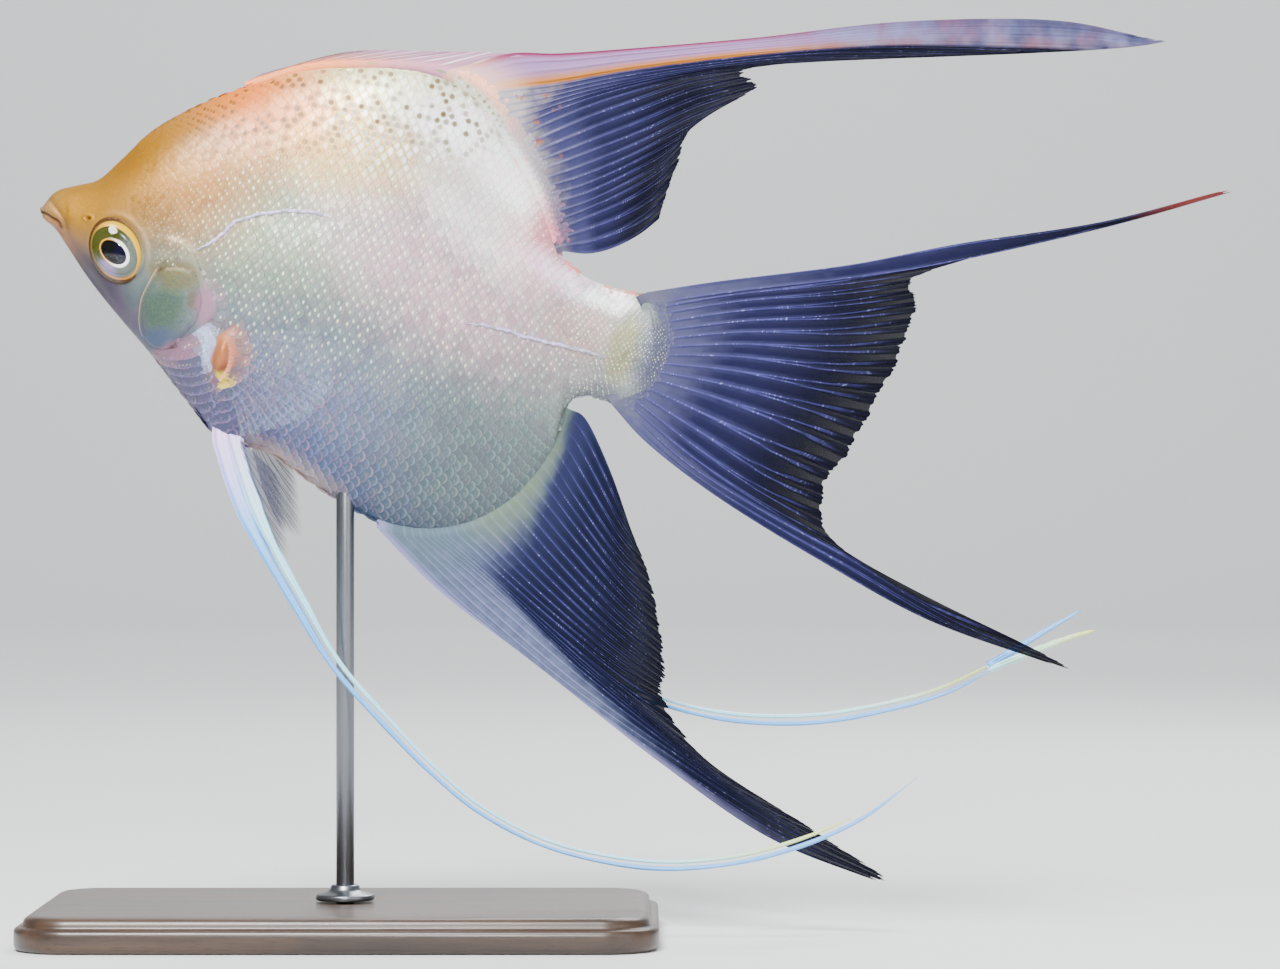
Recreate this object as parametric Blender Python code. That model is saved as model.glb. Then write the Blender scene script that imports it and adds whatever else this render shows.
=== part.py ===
"""Freshwater angelfish: a still, life-size display model on a flat base with one rod.

Metres, +Z up. The fish faces -X, and its left side is to -Y. The origin is the middle of
the base's underside. Outlines are in fractions of the standard length, in a frame that
starts at the snout: u runs back along the body and v up across it. That frame is pitched
nose up. Each fin is a fan of rays that leave an edge of the body.
"""

import math

import bmesh
import bpy
import numpy as np
from mathutils import Matrix, Vector

for old in list(bpy.data.objects):
    bpy.data.objects.remove(old, do_unlink=True)

# Driving sizes
STANDARD_LENGTH = 0.0875
NOSE_UP = math.radians(13.35)
SNOUT = Vector((-0.0435, 0.0, 0.1042))
GAP = 0.0003
GAP_UV = GAP / STANDARD_LENGTH
FIN_GAP_UV = 1.3 * GAP_UV
SPLIT_INSET_UV = 0.55 * GAP_UV

# Body sections from the snout to the tail: back u, back v, belly u, belly v, half width,
# how keen the ridges are (0.5 is round), and how far the section bows towards the tail.
SECTIONS = (
    (0.001, 0.006, 0.002, -0.006, 0.009, 0.50, 0.000),
    (0.007, 0.025, 0.010, -0.015, 0.018, 0.50, 0.000),
    (0.021, 0.041, 0.030, -0.026, 0.028, 0.50, 0.000),
    (0.050, 0.056, 0.062, -0.056, 0.042, 0.52, 0.000),
    (0.080, 0.073, 0.096, -0.088, 0.057, 0.54, 0.000),
    (0.107, 0.112, 0.131, -0.117, 0.068, 0.56, 0.000),
    (0.145, 0.170, 0.172, -0.148, 0.078, 0.59, 0.000),
    (0.200, 0.223, 0.227, -0.189, 0.088, 0.62, 0.000),
    (0.270, 0.273, 0.300, -0.249, 0.094, 0.65, 0.000),
    (0.357, 0.324, 0.372, -0.300, 0.095, 0.67, 0.000),
    (0.455, 0.355, 0.455, -0.304, 0.091, 0.69, 0.000),
    (0.560, 0.372, 0.562, -0.345, 0.083, 0.71, 0.000),
    (0.650, 0.354, 0.680, -0.374, 0.070, 0.72, 0.000),
    (0.722, 0.290, 0.785, -0.352, 0.055, 0.72, 0.000),
    (0.786, 0.220, 0.864, -0.286, 0.041, 0.70, 0.000),
    (0.845, 0.131, 0.908, -0.192, 0.029, 0.66, 0.000),
    (0.886, 0.105, 0.914, -0.112, 0.022, 0.60, 0.004),
    (0.935, 0.093, 0.938, -0.091, 0.017, 0.56, 0.022),
    (0.985, 0.096, 0.975, -0.092, 0.013, 0.54, 0.046),
)
FULLEST = 0.12
SECTION_RINGS = 44
SECTION_POINTS = 12

# Where the body is parted
HEAD_REAR = (
    (0.170, 0.320), (0.205, 0.200), (0.240, 0.080), (0.265, -0.008), (0.291, -0.044),
    (0.323, -0.088), (0.311, -0.120), (0.270, -0.164), (0.205, -0.190), (0.150, -0.250),
)
TAIL_FRONT = ((0.855, 0.260), (0.862, 0.050), (0.884, -0.060), (0.930, -0.118), (1.000, -0.200))
MOUTH = (
    (-0.030, -0.002), (0.002, -0.003), (0.028, -0.009), (0.046, -0.022), (0.056, -0.045),
    (0.060, -0.100),
)
GILL_COVER = (
    (0.211, -0.063), (0.199, -0.110), (0.208, -0.152), (0.237, -0.168),
    (0.273, -0.150), (0.294, -0.106), (0.285, -0.063), (0.250, -0.043),
)
COVER_DEPTH = 0.80
COVER_BED_DEPTH = 0.75
COVER_SPAN = 0.09
COVER_INNER_Y = 0.0004
CUT_REACH_Y = 0.02

# Eyes
EYE_AT = (0.143, -0.036)
EYE_SIZE = (0.0040, 0.0030, 0.0051)
EYE_TILT = math.radians(25)
EYE_SUNK = 0.0014

# Fins: each ray is where it leaves the body's edge, then the points it passes
DORSAL_SPINES = (
    (8.05, (0.286, 0.291), (0.300, 0.303)),
    (9.00, (0.395, 0.352), (0.435, 0.372)),
    (10.1, (0.520, 0.384), (0.575, 0.405)),
    (11.1, (0.612, 0.400), (0.658, 0.424)),
)
DORSAL_STREAMER = (
    (11.30, (0.632, 0.397), (0.690, 0.429), (0.767, 0.447), (0.892, 0.486), (1.080, 0.548),
     (1.297, 0.625), (1.536, 0.683), (1.697, 0.690)),
    (12.00, (0.715, 0.383), (0.777, 0.406), (0.900, 0.457), (1.086, 0.524),
     (1.305, 0.592), (1.545, 0.643), (1.650, 0.662), (1.697, 0.682)),
)
DORSAL_FAN = (
    (12.10, (0.777, 0.3985), (0.900, 0.450), (1.024, 0.495), (1.127, 0.522)),
    (12.87, (0.787, 0.358), (0.883, 0.416), (0.997, 0.470), (1.115, 0.510)),
    (13.70, (0.837, 0.292), (0.924, 0.352), (1.009, 0.418), (1.095, 0.466)),
    (14.25, (0.862, 0.235), (0.925, 0.285), (0.975, 0.332), (1.010, 0.385)),
    (14.65, (0.868, 0.192), (0.922, 0.232), (0.966, 0.275), (0.998, 0.318)),
    (15.05, (0.887, 0.138), (0.924, 0.156), (0.961, 0.187), (0.989, 0.222)),
)
CAUDAL_UPPER = (
    (-1.00, (1.108, 0.144), (1.309, 0.219), (1.476, 0.294), (1.692, 0.381), (1.875, 0.477)),
    (-0.84, (1.143, 0.136), (1.314, 0.198), (1.468, 0.261), (1.694, 0.370), (1.875, 0.470)),
)
CAUDAL_FAN = (
    (-0.76, (1.143, 0.130), (1.314, 0.191), (1.454, 0.247)),
    (-0.40, (1.163, 0.090), (1.312, 0.133), (1.438, 0.180)),
    (0.00, (1.169, 0.031), (1.316, 0.049), (1.423, 0.072)),
    (0.40, (1.153, -0.043), (1.291, -0.057), (1.385, -0.072)),
    (0.66, (1.140, -0.106), (1.255, -0.143), (1.361, -0.160)),
    (0.84, (1.130, -0.146), (1.270, -0.198), (1.425, -0.243)),
)
CAUDAL_LOWER = (
    (0.90, (1.120, -0.157), (1.268, -0.208), (1.421, -0.250), (1.604, -0.306), (1.796, -0.334)),
    (1.00, (1.057, -0.144), (1.190, -0.203), (1.371, -0.263), (1.570, -0.318), (1.796, -0.343)),
)
ANAL_FRONT = (
    (11.72, (0.779, -0.457), (0.958, -0.537), (1.194, -0.647), (1.399, -0.727), (1.600, -0.758)),
    (12.15, (0.840, -0.465), (1.031, -0.562), (1.245, -0.646), (1.410, -0.701), (1.600, -0.745)),
    (12.50, (0.896, -0.456), (1.040, -0.533), (1.190, -0.604), (1.320, -0.660), (1.460, -0.694)),
    (12.75, (0.890, -0.434), (1.010, -0.501), (1.130, -0.562), (1.275, -0.628)),
    (12.98, (0.887, -0.416), (0.993, -0.471), (1.096, -0.519), (1.184, -0.548)),
)
ANAL_STEPS = 24
ANAL_SPLIT_STEP = 12
ANAL_FAN = (
    (13.05, (0.890, -0.409), (0.993, -0.463), (1.096, -0.511), (1.184, -0.540)),
    (13.75, (0.956, -0.384), (1.065, -0.450), (1.172, -0.500)),
    (14.40, (0.975, -0.323), (1.067, -0.390), (1.148, -0.434)),
    (15.10, (0.976, -0.252), (1.046, -0.316), (1.112, -0.358)),
    (16.00, (0.948, -0.128), (1.004, -0.198), (1.062, -0.288)),
)
PECTORAL_LEFT = (
    ((0.345, -0.130), (0.425, -0.108), (0.495, -0.088)),
    ((0.358, -0.152), (0.445, -0.150), (0.545, -0.162)),
    ((0.362, -0.178), (0.435, -0.200), (0.505, -0.236)),
    ((0.354, -0.203), (0.392, -0.240), (0.416, -0.288)),
)
PECTORAL_RIGHT = (
    ((0.346, -0.140), (0.270, -0.190), (0.205, -0.250)),
    ((0.350, -0.158), (0.288, -0.212), (0.232, -0.270)),
    ((0.352, -0.176), (0.305, -0.222), (0.262, -0.270)),
    ((0.352, -0.194), (0.320, -0.228), (0.292, -0.254)),
)
PECTORAL_ROOT_Y = 0.0078
PECTORAL_REACH_Y = 0.0068
ROOT_HALF = 0.00055
TIP_HALF = 0.0003
SWAY = 0.0035

# Pelvic fins: u, v, how far out from the middle, and half the breadth, in metres
PELVIC_LEFT = (
    (0.391, -0.308, 0.0016, 0.0022), (0.439, -0.386, 0.0026, 0.0021),
    (0.491, -0.451, 0.0034, 0.0016), (0.561, -0.526, 0.0042, 0.0013),
    (0.644, -0.610, 0.0050, 0.0010), (0.738, -0.677, 0.0056, 0.0009),
    (0.838, -0.740, 0.0062, 0.0008), (0.936, -0.787, 0.0067, 0.0007),
    (1.059, -0.814, 0.0072, 0.0007), (1.208, -0.808, 0.0077, 0.0008),
    (1.333, -0.773, 0.0080, 0.0008), (1.437, -0.720, 0.0083, 0.0008),
    (1.528, -0.652, 0.0085, 0.0007), (1.603, -0.567, 0.0086, 0.0003),
)
PELVIC_RIGHT = (
    (0.398, -0.283, 0.0034, 0.0015), (0.466, -0.292, 0.0044, 0.0016),
    (0.557, -0.318, 0.0048, 0.0015), (0.651, -0.355, 0.0050, 0.0014),
    (0.747, -0.405, 0.0053, 0.0012), (0.845, -0.460, 0.0057, 0.0010),
    (0.926, -0.502, 0.0062, 0.0009), (1.050, -0.537, 0.0068, 0.0008),
    (1.186, -0.553, 0.0074, 0.0007), (1.308, -0.549, 0.0079, 0.0008),
    (1.438, -0.519, 0.0083, 0.0009), (1.561, -0.465, 0.0086, 0.0008),
    (1.636, -0.420, 0.0088, 0.0008), (1.700, -0.366, 0.0089, 0.0006),
)
PRONGS = (
    ((1.690, -0.370, 0.0089, 0.0006), (1.768, -0.293, 0.0089, 0.0004), (1.818, -0.245, 0.0089, 0.0003)),
    ((1.690, -0.376, 0.0089, 0.0006), (1.799, -0.301, 0.0089, 0.0004), (1.848, -0.272, 0.0089, 0.0003)),
)
PELVIC_STEPS = 42
PELVIC_LENGTHS = ((0, 15, "base"), (15, 29, "middle"), (29, PELVIC_STEPS, "tip"))
PELVIC_HALF = 0.0005

# Stand
BASE_SIZE = (0.090, 0.056, 0.005)
BASE_CORNER = 0.008
BASE_EDGE = 0.0008
ROD_RADIUS = 0.0013
ROD_FOOT = 0.0022
ROD_TOP = 0.0690
COLLAR_RADIUS = 0.0042
COLLAR_HEIGHT = 0.0022
ROUND_SIDES = 32


def smooth(rows, places):
    """Rows of numbers, read at fractional places along a smooth curve through them."""
    rows = np.asarray(rows, float)
    places = np.clip(np.asarray(places, float), 0, len(rows) - 1)
    padded = np.vstack([2 * rows[0] - rows[1], rows, 2 * rows[-1] - rows[-2]])
    first = np.minimum(places.astype(int), len(rows) - 2)
    t = (places - first)[:, None]
    a, b, c, d = (padded[first + k] for k in range(4))
    bend = (2 * a - 5 * b + 4 * c - d) * t**2 + (3 * b - a - 3 * c + d) * t**3
    return 0.5 * (2 * b + (c - a) * t + bend)


def even(points, count):
    """This many points at even distances along a smooth curve through the given ones."""
    fine = smooth(points, np.linspace(0, len(points) - 1, 40 * len(points)))
    steps = np.linalg.norm(np.diff(fine[:, :2], axis=0), axis=1)
    run = np.concatenate([[0], np.cumsum(steps)])
    wanted = np.linspace(0, run[-1], count)
    return np.stack([np.interp(wanted, run, column) for column in fine.T], axis=1)


def offset(line, distance):
    """A line moved to its left by this distance, in its own units."""
    line = np.asarray(line, float)
    way = np.gradient(line, axis=0)
    way /= np.linalg.norm(way, axis=1)[:, None]
    return line + distance * np.stack([-way[:, 1], way[:, 0]], axis=1)


def place(uv, y):
    """World points from body fractions and the distance in metres from the middle plane."""
    uv = np.asarray(uv, float) * STANDARD_LENGTH
    x = SNOUT.x + uv[..., 0] * math.cos(NOSE_UP) + uv[..., 1] * math.sin(NOSE_UP)
    z = SNOUT.z - uv[..., 0] * math.sin(NOSE_UP) + uv[..., 1] * math.cos(NOSE_UP)
    return np.stack([x, np.broadcast_to(y, x.shape), z], axis=-1)


def body(sections, heights):
    """u, v and half width over a grid: heights run from -1 on the back to 1 on the belly."""
    row = smooth(SECTIONS, sections)
    f = np.asarray(heights, float)[None, :]
    back, belly = row[:, None, 0:2], row[:, None, 2:4]
    width, keen, bow = (row[:, k, None] for k in (4, 5, 6))
    line = back + (belly - back) * (f[..., None] + 1) / 2
    line[..., 0] += bow * (1 - f**2)
    level = f - FULLEST * (1 - f**2)
    half = width * np.maximum(1 - level**2, 0) ** keen
    return line, half


def back_edge(places):
    """Points just off the back's ridge, at these sections."""
    line, _ = body(places, [-1, 1])
    away = line[:, 0] - line[:, 1]
    return line[:, 0] + FIN_GAP_UV * away / np.linalg.norm(away, axis=1)[:, None]


def belly_edge(places):
    """Points just off the belly's ridge, at these sections."""
    line, _ = body(places, [-1, 1])
    away = line[:, 1] - line[:, 0]
    return line[:, 1] + FIN_GAP_UV * away / np.linalg.norm(away, axis=1)[:, None]


def tail_edge(heights):
    """Points just behind the end of the flesh, at these heights."""
    line, _ = body([len(SECTIONS) - 1], heights)
    return line[0] + (FIN_GAP_UV, 0)


def sway(uv):
    """How far out of the middle plane a median fin drifts, in metres."""
    u, v = uv[..., 0] - 0.45, uv[..., 1]
    reach = np.maximum(np.hypot(u, v) - 0.4, 0)
    return -SWAY * reach**2 * np.sin(2.5 * np.arctan2(v, u) + 0.6)


def fan(edge, rays, columns, rows):
    """A grid of points over a fin, from ray to ray and from root to tip."""
    starts = edge([ray[0] for ray in rays])
    lines = [even([start, *ray[1:]], rows + 1) for start, ray in zip(starts, rays)]
    across = np.linspace(0, len(rays) - 1, columns + 1)
    table = np.concatenate([[[ray[0]] for ray in rays], np.reshape(lines, (len(rays), -1))], axis=1)
    found = smooth(table, across)
    grid = found[:, 1:].reshape(columns + 1, rows + 1, 2)
    settle = (1 - np.linspace(0, 1, rows + 1)) ** 2
    return grid + (edge(found[:, 0]) - grid[:, 0])[:, None] * settle[None, :, None]


def material(name, colour, roughness, metallic=0.0, alpha=1.0):
    made = bpy.data.materials.new(name)
    made.use_nodes = True
    shader = made.node_tree.nodes["Principled BSDF"]
    shader.inputs["Base Color"].default_value = (*colour, 1)
    shader.inputs["Roughness"].default_value = roughness
    shader.inputs["Metallic"].default_value = metallic
    shader.inputs["Alpha"].default_value = alpha
    made.diffuse_color = (*colour, 1)
    return made


def add(name, points, faces, finish=None, helper=False):
    """An object from points and faces, its faces turned outwards."""
    mesh = bpy.data.meshes.new(name)
    mesh.from_pydata([tuple(point) for point in points], [], faces)
    shape = bmesh.new()
    shape.from_mesh(mesh)
    bmesh.ops.recalc_face_normals(shape, faces=shape.faces)
    if shape.calc_volume(signed=True) < 0:
        bmesh.ops.reverse_faces(shape, faces=shape.faces)
    shape.to_mesh(mesh)
    shape.free()
    made = bpy.data.objects.new(name, mesh)
    bpy.context.scene.collection.objects.link(made)
    if finish:
        mesh.materials.append(finish)
    if helper:
        made.hide_render = True
        made.display_type = "WIRE"
    return made


def carve(made, other, operation):
    """A Boolean with another object, left on the object as a modifier."""
    modifier = made.modifiers.new(f"{operation.lower()}_{other.name}", "BOOLEAN")
    modifier.operation = operation
    modifier.solver = "EXACT"
    modifier.object = other


def ring_places(count):
    """Section numbers that keep rings of the body closer together where it is smaller."""
    fine = np.linspace(0, len(SECTIONS) - 1, 400)
    line, _ = body(fine, [-1, 1])
    steps = np.linalg.norm(np.diff(line, axis=0), axis=2).max(axis=1)
    run = np.concatenate([[0], np.cumsum(steps**0.6)])
    return np.interp(np.linspace(0, run[-1], count), run, fine)


def body_mesh(name, thinner=1.0, finish=None, helper=False):
    """The whole body as one closed loft, its width scaled by thinner."""
    count = SECTION_RINGS
    heights = -np.cos(np.linspace(0, math.pi, SECTION_POINTS))
    line, half = body(ring_places(count), heights)
    out = half * STANDARD_LENGTH * thinner
    left, right = place(line, -out), place(line, out)
    last = SECTION_POINTS - 1
    ring = 2 * last
    points = [p for a, b in zip(left, right) for p in (*a, *b[last - 1:0:-1])]
    faces = [
        (i * ring + k, (i + 1) * ring + k, (i + 1) * ring + (k + 1) % ring, i * ring + (k + 1) % ring)
        for i in range(count - 1)
        for k in range(ring)
    ]
    for start in (0, (count - 1) * ring):
        rungs = [(start + k, start + (ring - k) % ring) for k in range(last + 1)]
        for (a, b), (c, d) in zip(rungs, rungs[1:]):
            faces.append(tuple(dict.fromkeys((a, c, d, b))))
    return add(name, points, faces, finish, helper)


def prism(name, outline, y_from, y_to):
    """A helper: a flat outline in body fractions, pushed across from y to y."""
    near, far = place(outline, y_from), place(outline, y_to)
    count = len(outline)
    walls = [(k, (k + 1) % count, count + (k + 1) % count, count + k) for k in range(count)]
    faces = [tuple(range(count)), tuple(range(2 * count - 1, count - 1, -1)), *walls]
    return add(name, [*near, *far], faces, helper=True)


def region(name, edge, corners):
    """A helper that holds all the body on one side of an edge, closed round far corners."""
    return prism(name, [*edge, *corners], -CUT_REACH_Y, CUT_REACH_Y)


def ellipsoid(name, centre, size, tilt, finish=None, helper=False):
    made = add(name, [], [], finish, helper)
    shape = bmesh.new()
    bmesh.ops.create_uvsphere(shape, u_segments=20, v_segments=10, radius=1.0)
    bmesh.ops.rotate(shape, verts=shape.verts, matrix=Matrix.Rotation(math.pi / 2, 3, "X"))
    shape.to_mesh(made.data)
    shape.free()
    made.location = centre
    made.rotation_euler = (0, -tilt, 0)
    made.scale = size
    return made


def plate(name, grid, y, half, finish):
    """A closed thin plate over a grid of body fractions, at y and with this half thickness."""
    columns, rows = grid.shape[0], grid.shape[1]
    near, far = place(grid, y - half), place(grid, y + half)
    points = [*near.reshape(-1, 3), *far.reshape(-1, 3)]
    side = columns * rows

    def quad(i, k, shift):
        a = i * rows + k + shift
        return (a, a + rows, a + rows + 1, a + 1)

    faces = [quad(i, k, s) for s in (0, side) for i in range(columns - 1) for k in range(rows - 1)]
    rim = list(range(rows))
    rim += [i * rows + rows - 1 for i in range(1, columns)]
    rim += [(columns - 1) * rows + k for k in range(rows - 2, -1, -1)]
    rim += [i * rows for i in range(columns - 2, 0, -1)]
    faces += [(a, b, b + side, a + side) for a, b in zip(rim, rim[1:] + rim[:1])]
    return add(name, points, faces, finish)


def median_fin(name, grid, finish):
    """A fin on the middle line, thick at the root and thin at the tip."""
    along = np.linspace(0, 1, grid.shape[1])[None, :]
    return plate(name, grid, sway(grid), ROOT_HALF + (TIP_HALF - ROOT_HALF) * along, finish)


def blade(name, path, side, finish, helper=False):
    """A slim flattened streamer along a path of u, v, distance out and half breadth."""
    path = np.asarray(path)
    way = np.gradient(path[:, :2], axis=0)
    way /= np.linalg.norm(way, axis=1)[:, None]
    normal = np.stack([-way[:, 1], way[:, 0]], axis=1)
    around = np.arange(6) * math.tau / 6
    rings = []
    for (u, v, out, half), across in zip(path, normal):
        uv = [(u, v) + across * half * math.cos(t) / STANDARD_LENGTH for t in around]
        rings.append(place(uv, side * out + PELVIC_HALF * np.sin(around)))
    points = [p for ring in rings for p in ring]
    faces = [
        (i * 6 + k, i * 6 + 6 + k, i * 6 + 6 + (k + 1) % 6, i * 6 + (k + 1) % 6)
        for i in range(len(path) - 1)
        for k in range(6)
    ]
    last = (len(path) - 1) * 6
    faces += [tuple(range(6)), tuple(range(last + 5, last - 1, -1))]
    return add(name, points, faces, finish, helper)


def make_body(finishes):
    """The head, jaw, gill covers, trunk and tail base, parted by thin cuts."""
    half_gap = GAP_UV / 2
    rear, front, mouth = even(HEAD_REAR, 28), even(TAIL_FRONT, 12), even(MOUTH, 14)
    above, below = (-0.4, 0.8), (-0.4, -0.8)
    before_gills = region("before_gills", offset(rear, -half_gap), [below, above])
    behind_gills = region("behind_gills", offset(rear, half_gap), [(1.2, -0.8), (1.2, 0.8)])
    before_tail = region(
        "before_tail", offset(front, -half_gap), [(1.0, -0.8), below, above, (0.8, 0.8)]
    )
    behind_tail = region("behind_tail", offset(front, half_gap), [(1.3, -0.2), (1.3, 0.26)])
    under_mouth = region("under_mouth", offset(mouth, -half_gap), [(-0.03, -0.10)])
    around_jaw = region("around_jaw", offset(mouth, half_gap), [(-0.04, -0.11)])
    core = body_mesh("cover_bed", COVER_DEPTH, helper=True)
    deeper = body_mesh("cover_bed_cut", COVER_BED_DEPTH, helper=True)

    head = body_mesh("head", finish=finishes["head"])
    carve(head, before_gills, "INTERSECT")
    carve(head, around_jaw, "DIFFERENCE")
    jaw = body_mesh("lower_jaw", finish=finishes["jaw"])
    carve(jaw, under_mouth, "INTERSECT")
    trunk = body_mesh("trunk", finish=finishes["trunk"])
    carve(trunk, behind_gills, "INTERSECT")
    carve(trunk, before_tail, "INTERSECT")
    tail = body_mesh("tail_base", finish=finishes["tail"])
    carve(tail, behind_tail, "INTERSECT")

    cover = even([*GILL_COVER, GILL_COVER[0]], 25)[:-1]
    middle = cover.mean(axis=0)
    grown = middle + (cover - middle) * (1 + 2 * GAP_UV / COVER_SPAN)
    eye_y = eye_half_width() - EYE_SUNK
    for side, word in ((-1, "left"), (1, "right")):
        ends = sorted((side * COVER_INNER_Y, side * CUT_REACH_Y))
        shape = prism(f"cover_shape_{word}", cover, *ends)
        made = body_mesh(f"gill_cover_{word}", finish=finishes["cover"])
        carve(made, shape, "INTERSECT")
        carve(made, core, "DIFFERENCE")
        bed = prism(f"cover_cut_{word}", grown, *ends)
        carve(bed, deeper, "DIFFERENCE")
        carve(head, bed, "DIFFERENCE")

        centre = place(np.array(EYE_AT), side * eye_y)
        ellipsoid(f"eye_{word}", centre, EYE_SIZE, EYE_TILT, finishes["eye"])
        socket = [size + GAP for size in EYE_SIZE]
        carve(head, ellipsoid(f"socket_{word}", centre, socket, EYE_TILT, helper=True), "DIFFERENCE")
    return trunk


def eye_half_width():
    """Half the head's width where the eyes sit, in metres."""
    line, half = body(np.linspace(4, 7, 61), np.linspace(-1, 1, 81))
    near = np.hypot(line[..., 0] - EYE_AT[0], line[..., 1] - EYE_AT[1])
    return half.flat[near.argmin()] * STANDARD_LENGTH


def make_median_fins(finishes):
    median_fin("dorsal_fin_spines", fan(back_edge, DORSAL_SPINES, 12, 3), finishes["spines"])
    median_fin("dorsal_fin_streamer", fan(back_edge, DORSAL_STREAMER, 2, 26), finishes["streamer"])
    median_fin("dorsal_fin_fan", fan(back_edge, DORSAL_FAN, 10, 8), finishes["membrane"])
    median_fin("caudal_fin_fan", fan(tail_edge, CAUDAL_FAN, 12, 8), finishes["membrane"])
    for rays, word in ((CAUDAL_UPPER, "upper"), (CAUDAL_LOWER, "lower")):
        median_fin(f"caudal_fin_streamer_{word}", fan(tail_edge, rays, 1, 20), finishes["membrane"])
    front = fan(belly_edge, ANAL_FRONT, 6, ANAL_STEPS)
    split = ANAL_SPLIT_STEP
    along = front[:, split + 1] - front[:, split]
    inset = SPLIT_INSET_UV * along / np.linalg.norm(along, axis=1)[:, None]
    inner, outer = front[:, : split + 1].copy(), front[:, split:].copy()
    inner[:, -1] -= inset
    outer[:, 0] += inset
    median_fin("anal_fin_front", inner, finishes["sheath"])
    median_fin("anal_fin_streamer", outer, finishes["membrane"])
    median_fin("anal_fin_fan", fan(belly_edge, ANAL_FAN, 10, 7), finishes["membrane"])


def make_paired_fins(finishes):
    for rays, side, word in ((PECTORAL_LEFT, -1, "left"), (PECTORAL_RIGHT, 1, "right")):
        lines = np.array([even(ray, 7) for ray in rays])
        grid = smooth(lines.reshape(len(rays), -1), np.linspace(0, 3, 7)).reshape(7, 7, 2)
        out = PECTORAL_ROOT_Y + PECTORAL_REACH_Y * np.linspace(0, 1, 7)[None, :] ** 1.2
        plate(f"pectoral_fin_{word}", grid, side * out, TIP_HALF, finishes["clear"])

    for path, side, word in ((PELVIC_LEFT, -1, "left"), (PELVIC_RIGHT, 1, "right")):
        whole = even(path, PELVIC_STEPS + 1)
        for start, end, length in PELVIC_LENGTHS:
            piece = whole[start : end + 1].copy()
            if end < PELVIC_STEPS:
                piece[-1] += (piece[-2] - piece[-1]) * GAP / segment_length(piece)
            made = blade(f"pelvic_fin_{word}_{length}", piece, side, finishes["pelvic"])
    for number, prong in enumerate(PRONGS):
        carve(made, blade(f"prong_{number}", even(prong, 6), side, None, helper=True), "UNION")


def segment_length(piece):
    """Length in metres of the last step of a path."""
    return np.linalg.norm(piece[-1, :2] - piece[-2, :2]) * STANDARD_LENGTH


def cylinder(name, radius, bottom, top, finish=None, helper=False):
    made = add(name, [], [], finish, helper)
    shape = bmesh.new()
    bmesh.ops.create_cone(
        shape, cap_ends=True, segments=ROUND_SIDES, radius1=radius, radius2=radius, depth=top - bottom
    )
    shape.to_mesh(made.data)
    shape.free()
    made.location = (0, 0, (bottom + top) / 2)
    return made


def make_stand(finishes, trunk):
    """A flat base, a rod that is let into it and into the belly, and a collar at its foot."""
    height = BASE_SIZE[2]
    base = add("stand_base", [], [], finishes["wood"])
    shape = bmesh.new()
    bmesh.ops.create_cube(shape, size=1.0)
    bmesh.ops.scale(shape, verts=shape.verts, vec=BASE_SIZE)
    upright = [e for e in shape.edges if abs(e.verts[0].co.z - e.verts[1].co.z) > height / 2]
    bmesh.ops.bevel(shape, geom=upright, offset=BASE_CORNER, segments=6, affect="EDGES", profile=0.5)
    top = [e for e in shape.edges if min(v.co.z for v in e.verts) > height * 0.49]
    bmesh.ops.bevel(shape, geom=top, offset=BASE_EDGE, segments=2, affect="EDGES", profile=0.5)
    shape.to_mesh(base.data)
    shape.free()
    base.location = (0, 0, height / 2)
    bore = cylinder("rod_bore", ROD_RADIUS + GAP, ROD_FOOT - GAP, ROD_TOP + GAP, helper=True)
    cylinder("stand_rod", ROD_RADIUS, ROD_FOOT, ROD_TOP, finishes["steel"])
    foot = height + GAP
    collar = cylinder("stand_collar", COLLAR_RADIUS, foot, foot + COLLAR_HEIGHT, finishes["steel"])
    for made in (base, collar, trunk):
        carve(made, bore, "DIFFERENCE")


def main():
    finishes = {
        "head": material("golden head skin", (0.80, 0.50, 0.24), 0.35),
        "jaw": material("rosy lip skin", (0.72, 0.52, 0.42), 0.35),
        "cover": material("green gill cover", (0.40, 0.52, 0.46), 0.25, 0.2),
        "trunk": material("pearly flank", (0.62, 0.64, 0.58), 0.30, 0.2),
        "tail": material("cream tail base", (0.70, 0.68, 0.48), 0.30),
        "eye": material("gold ringed eye", (0.75, 0.60, 0.16), 0.15, 0.4),
        "spines": material("pink spiny fin", (0.74, 0.55, 0.56), 0.35, alpha=0.8),
        "streamer": material("pink streamer", (0.80, 0.62, 0.62), 0.30),
        "membrane": material("navy fin membrane", (0.12, 0.13, 0.32), 0.30, alpha=0.8),
        "sheath": material("pale fin sheath", (0.52, 0.55, 0.58), 0.32),
        "pelvic": material("white streamer", (0.80, 0.88, 0.92), 0.25),
        "clear": material("clear fin", (0.85, 0.80, 0.78), 0.20, alpha=0.25),
        "wood": material("walnut base", (0.12, 0.06, 0.03), 0.40),
        "steel": material("steel rod", (0.62, 0.63, 0.65), 0.28, 1.0),
    }
    trunk = make_body(finishes)
    make_median_fins(finishes)
    make_paired_fins(finishes)
    make_stand(finishes, trunk)


main()
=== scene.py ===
"""Looks of the freshwater angelfish model: its skin, scales, eyes, fins and display stand.

Lengths are in metres. Body places are in fractions of the standard length: u runs back from
the snout, v runs up, and that frame is pitched nose up. The fish faces -X, its left side -Y.
Numbers in milli() are in thousandths, so lengths among them are in millimetres.
"""

import math

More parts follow.
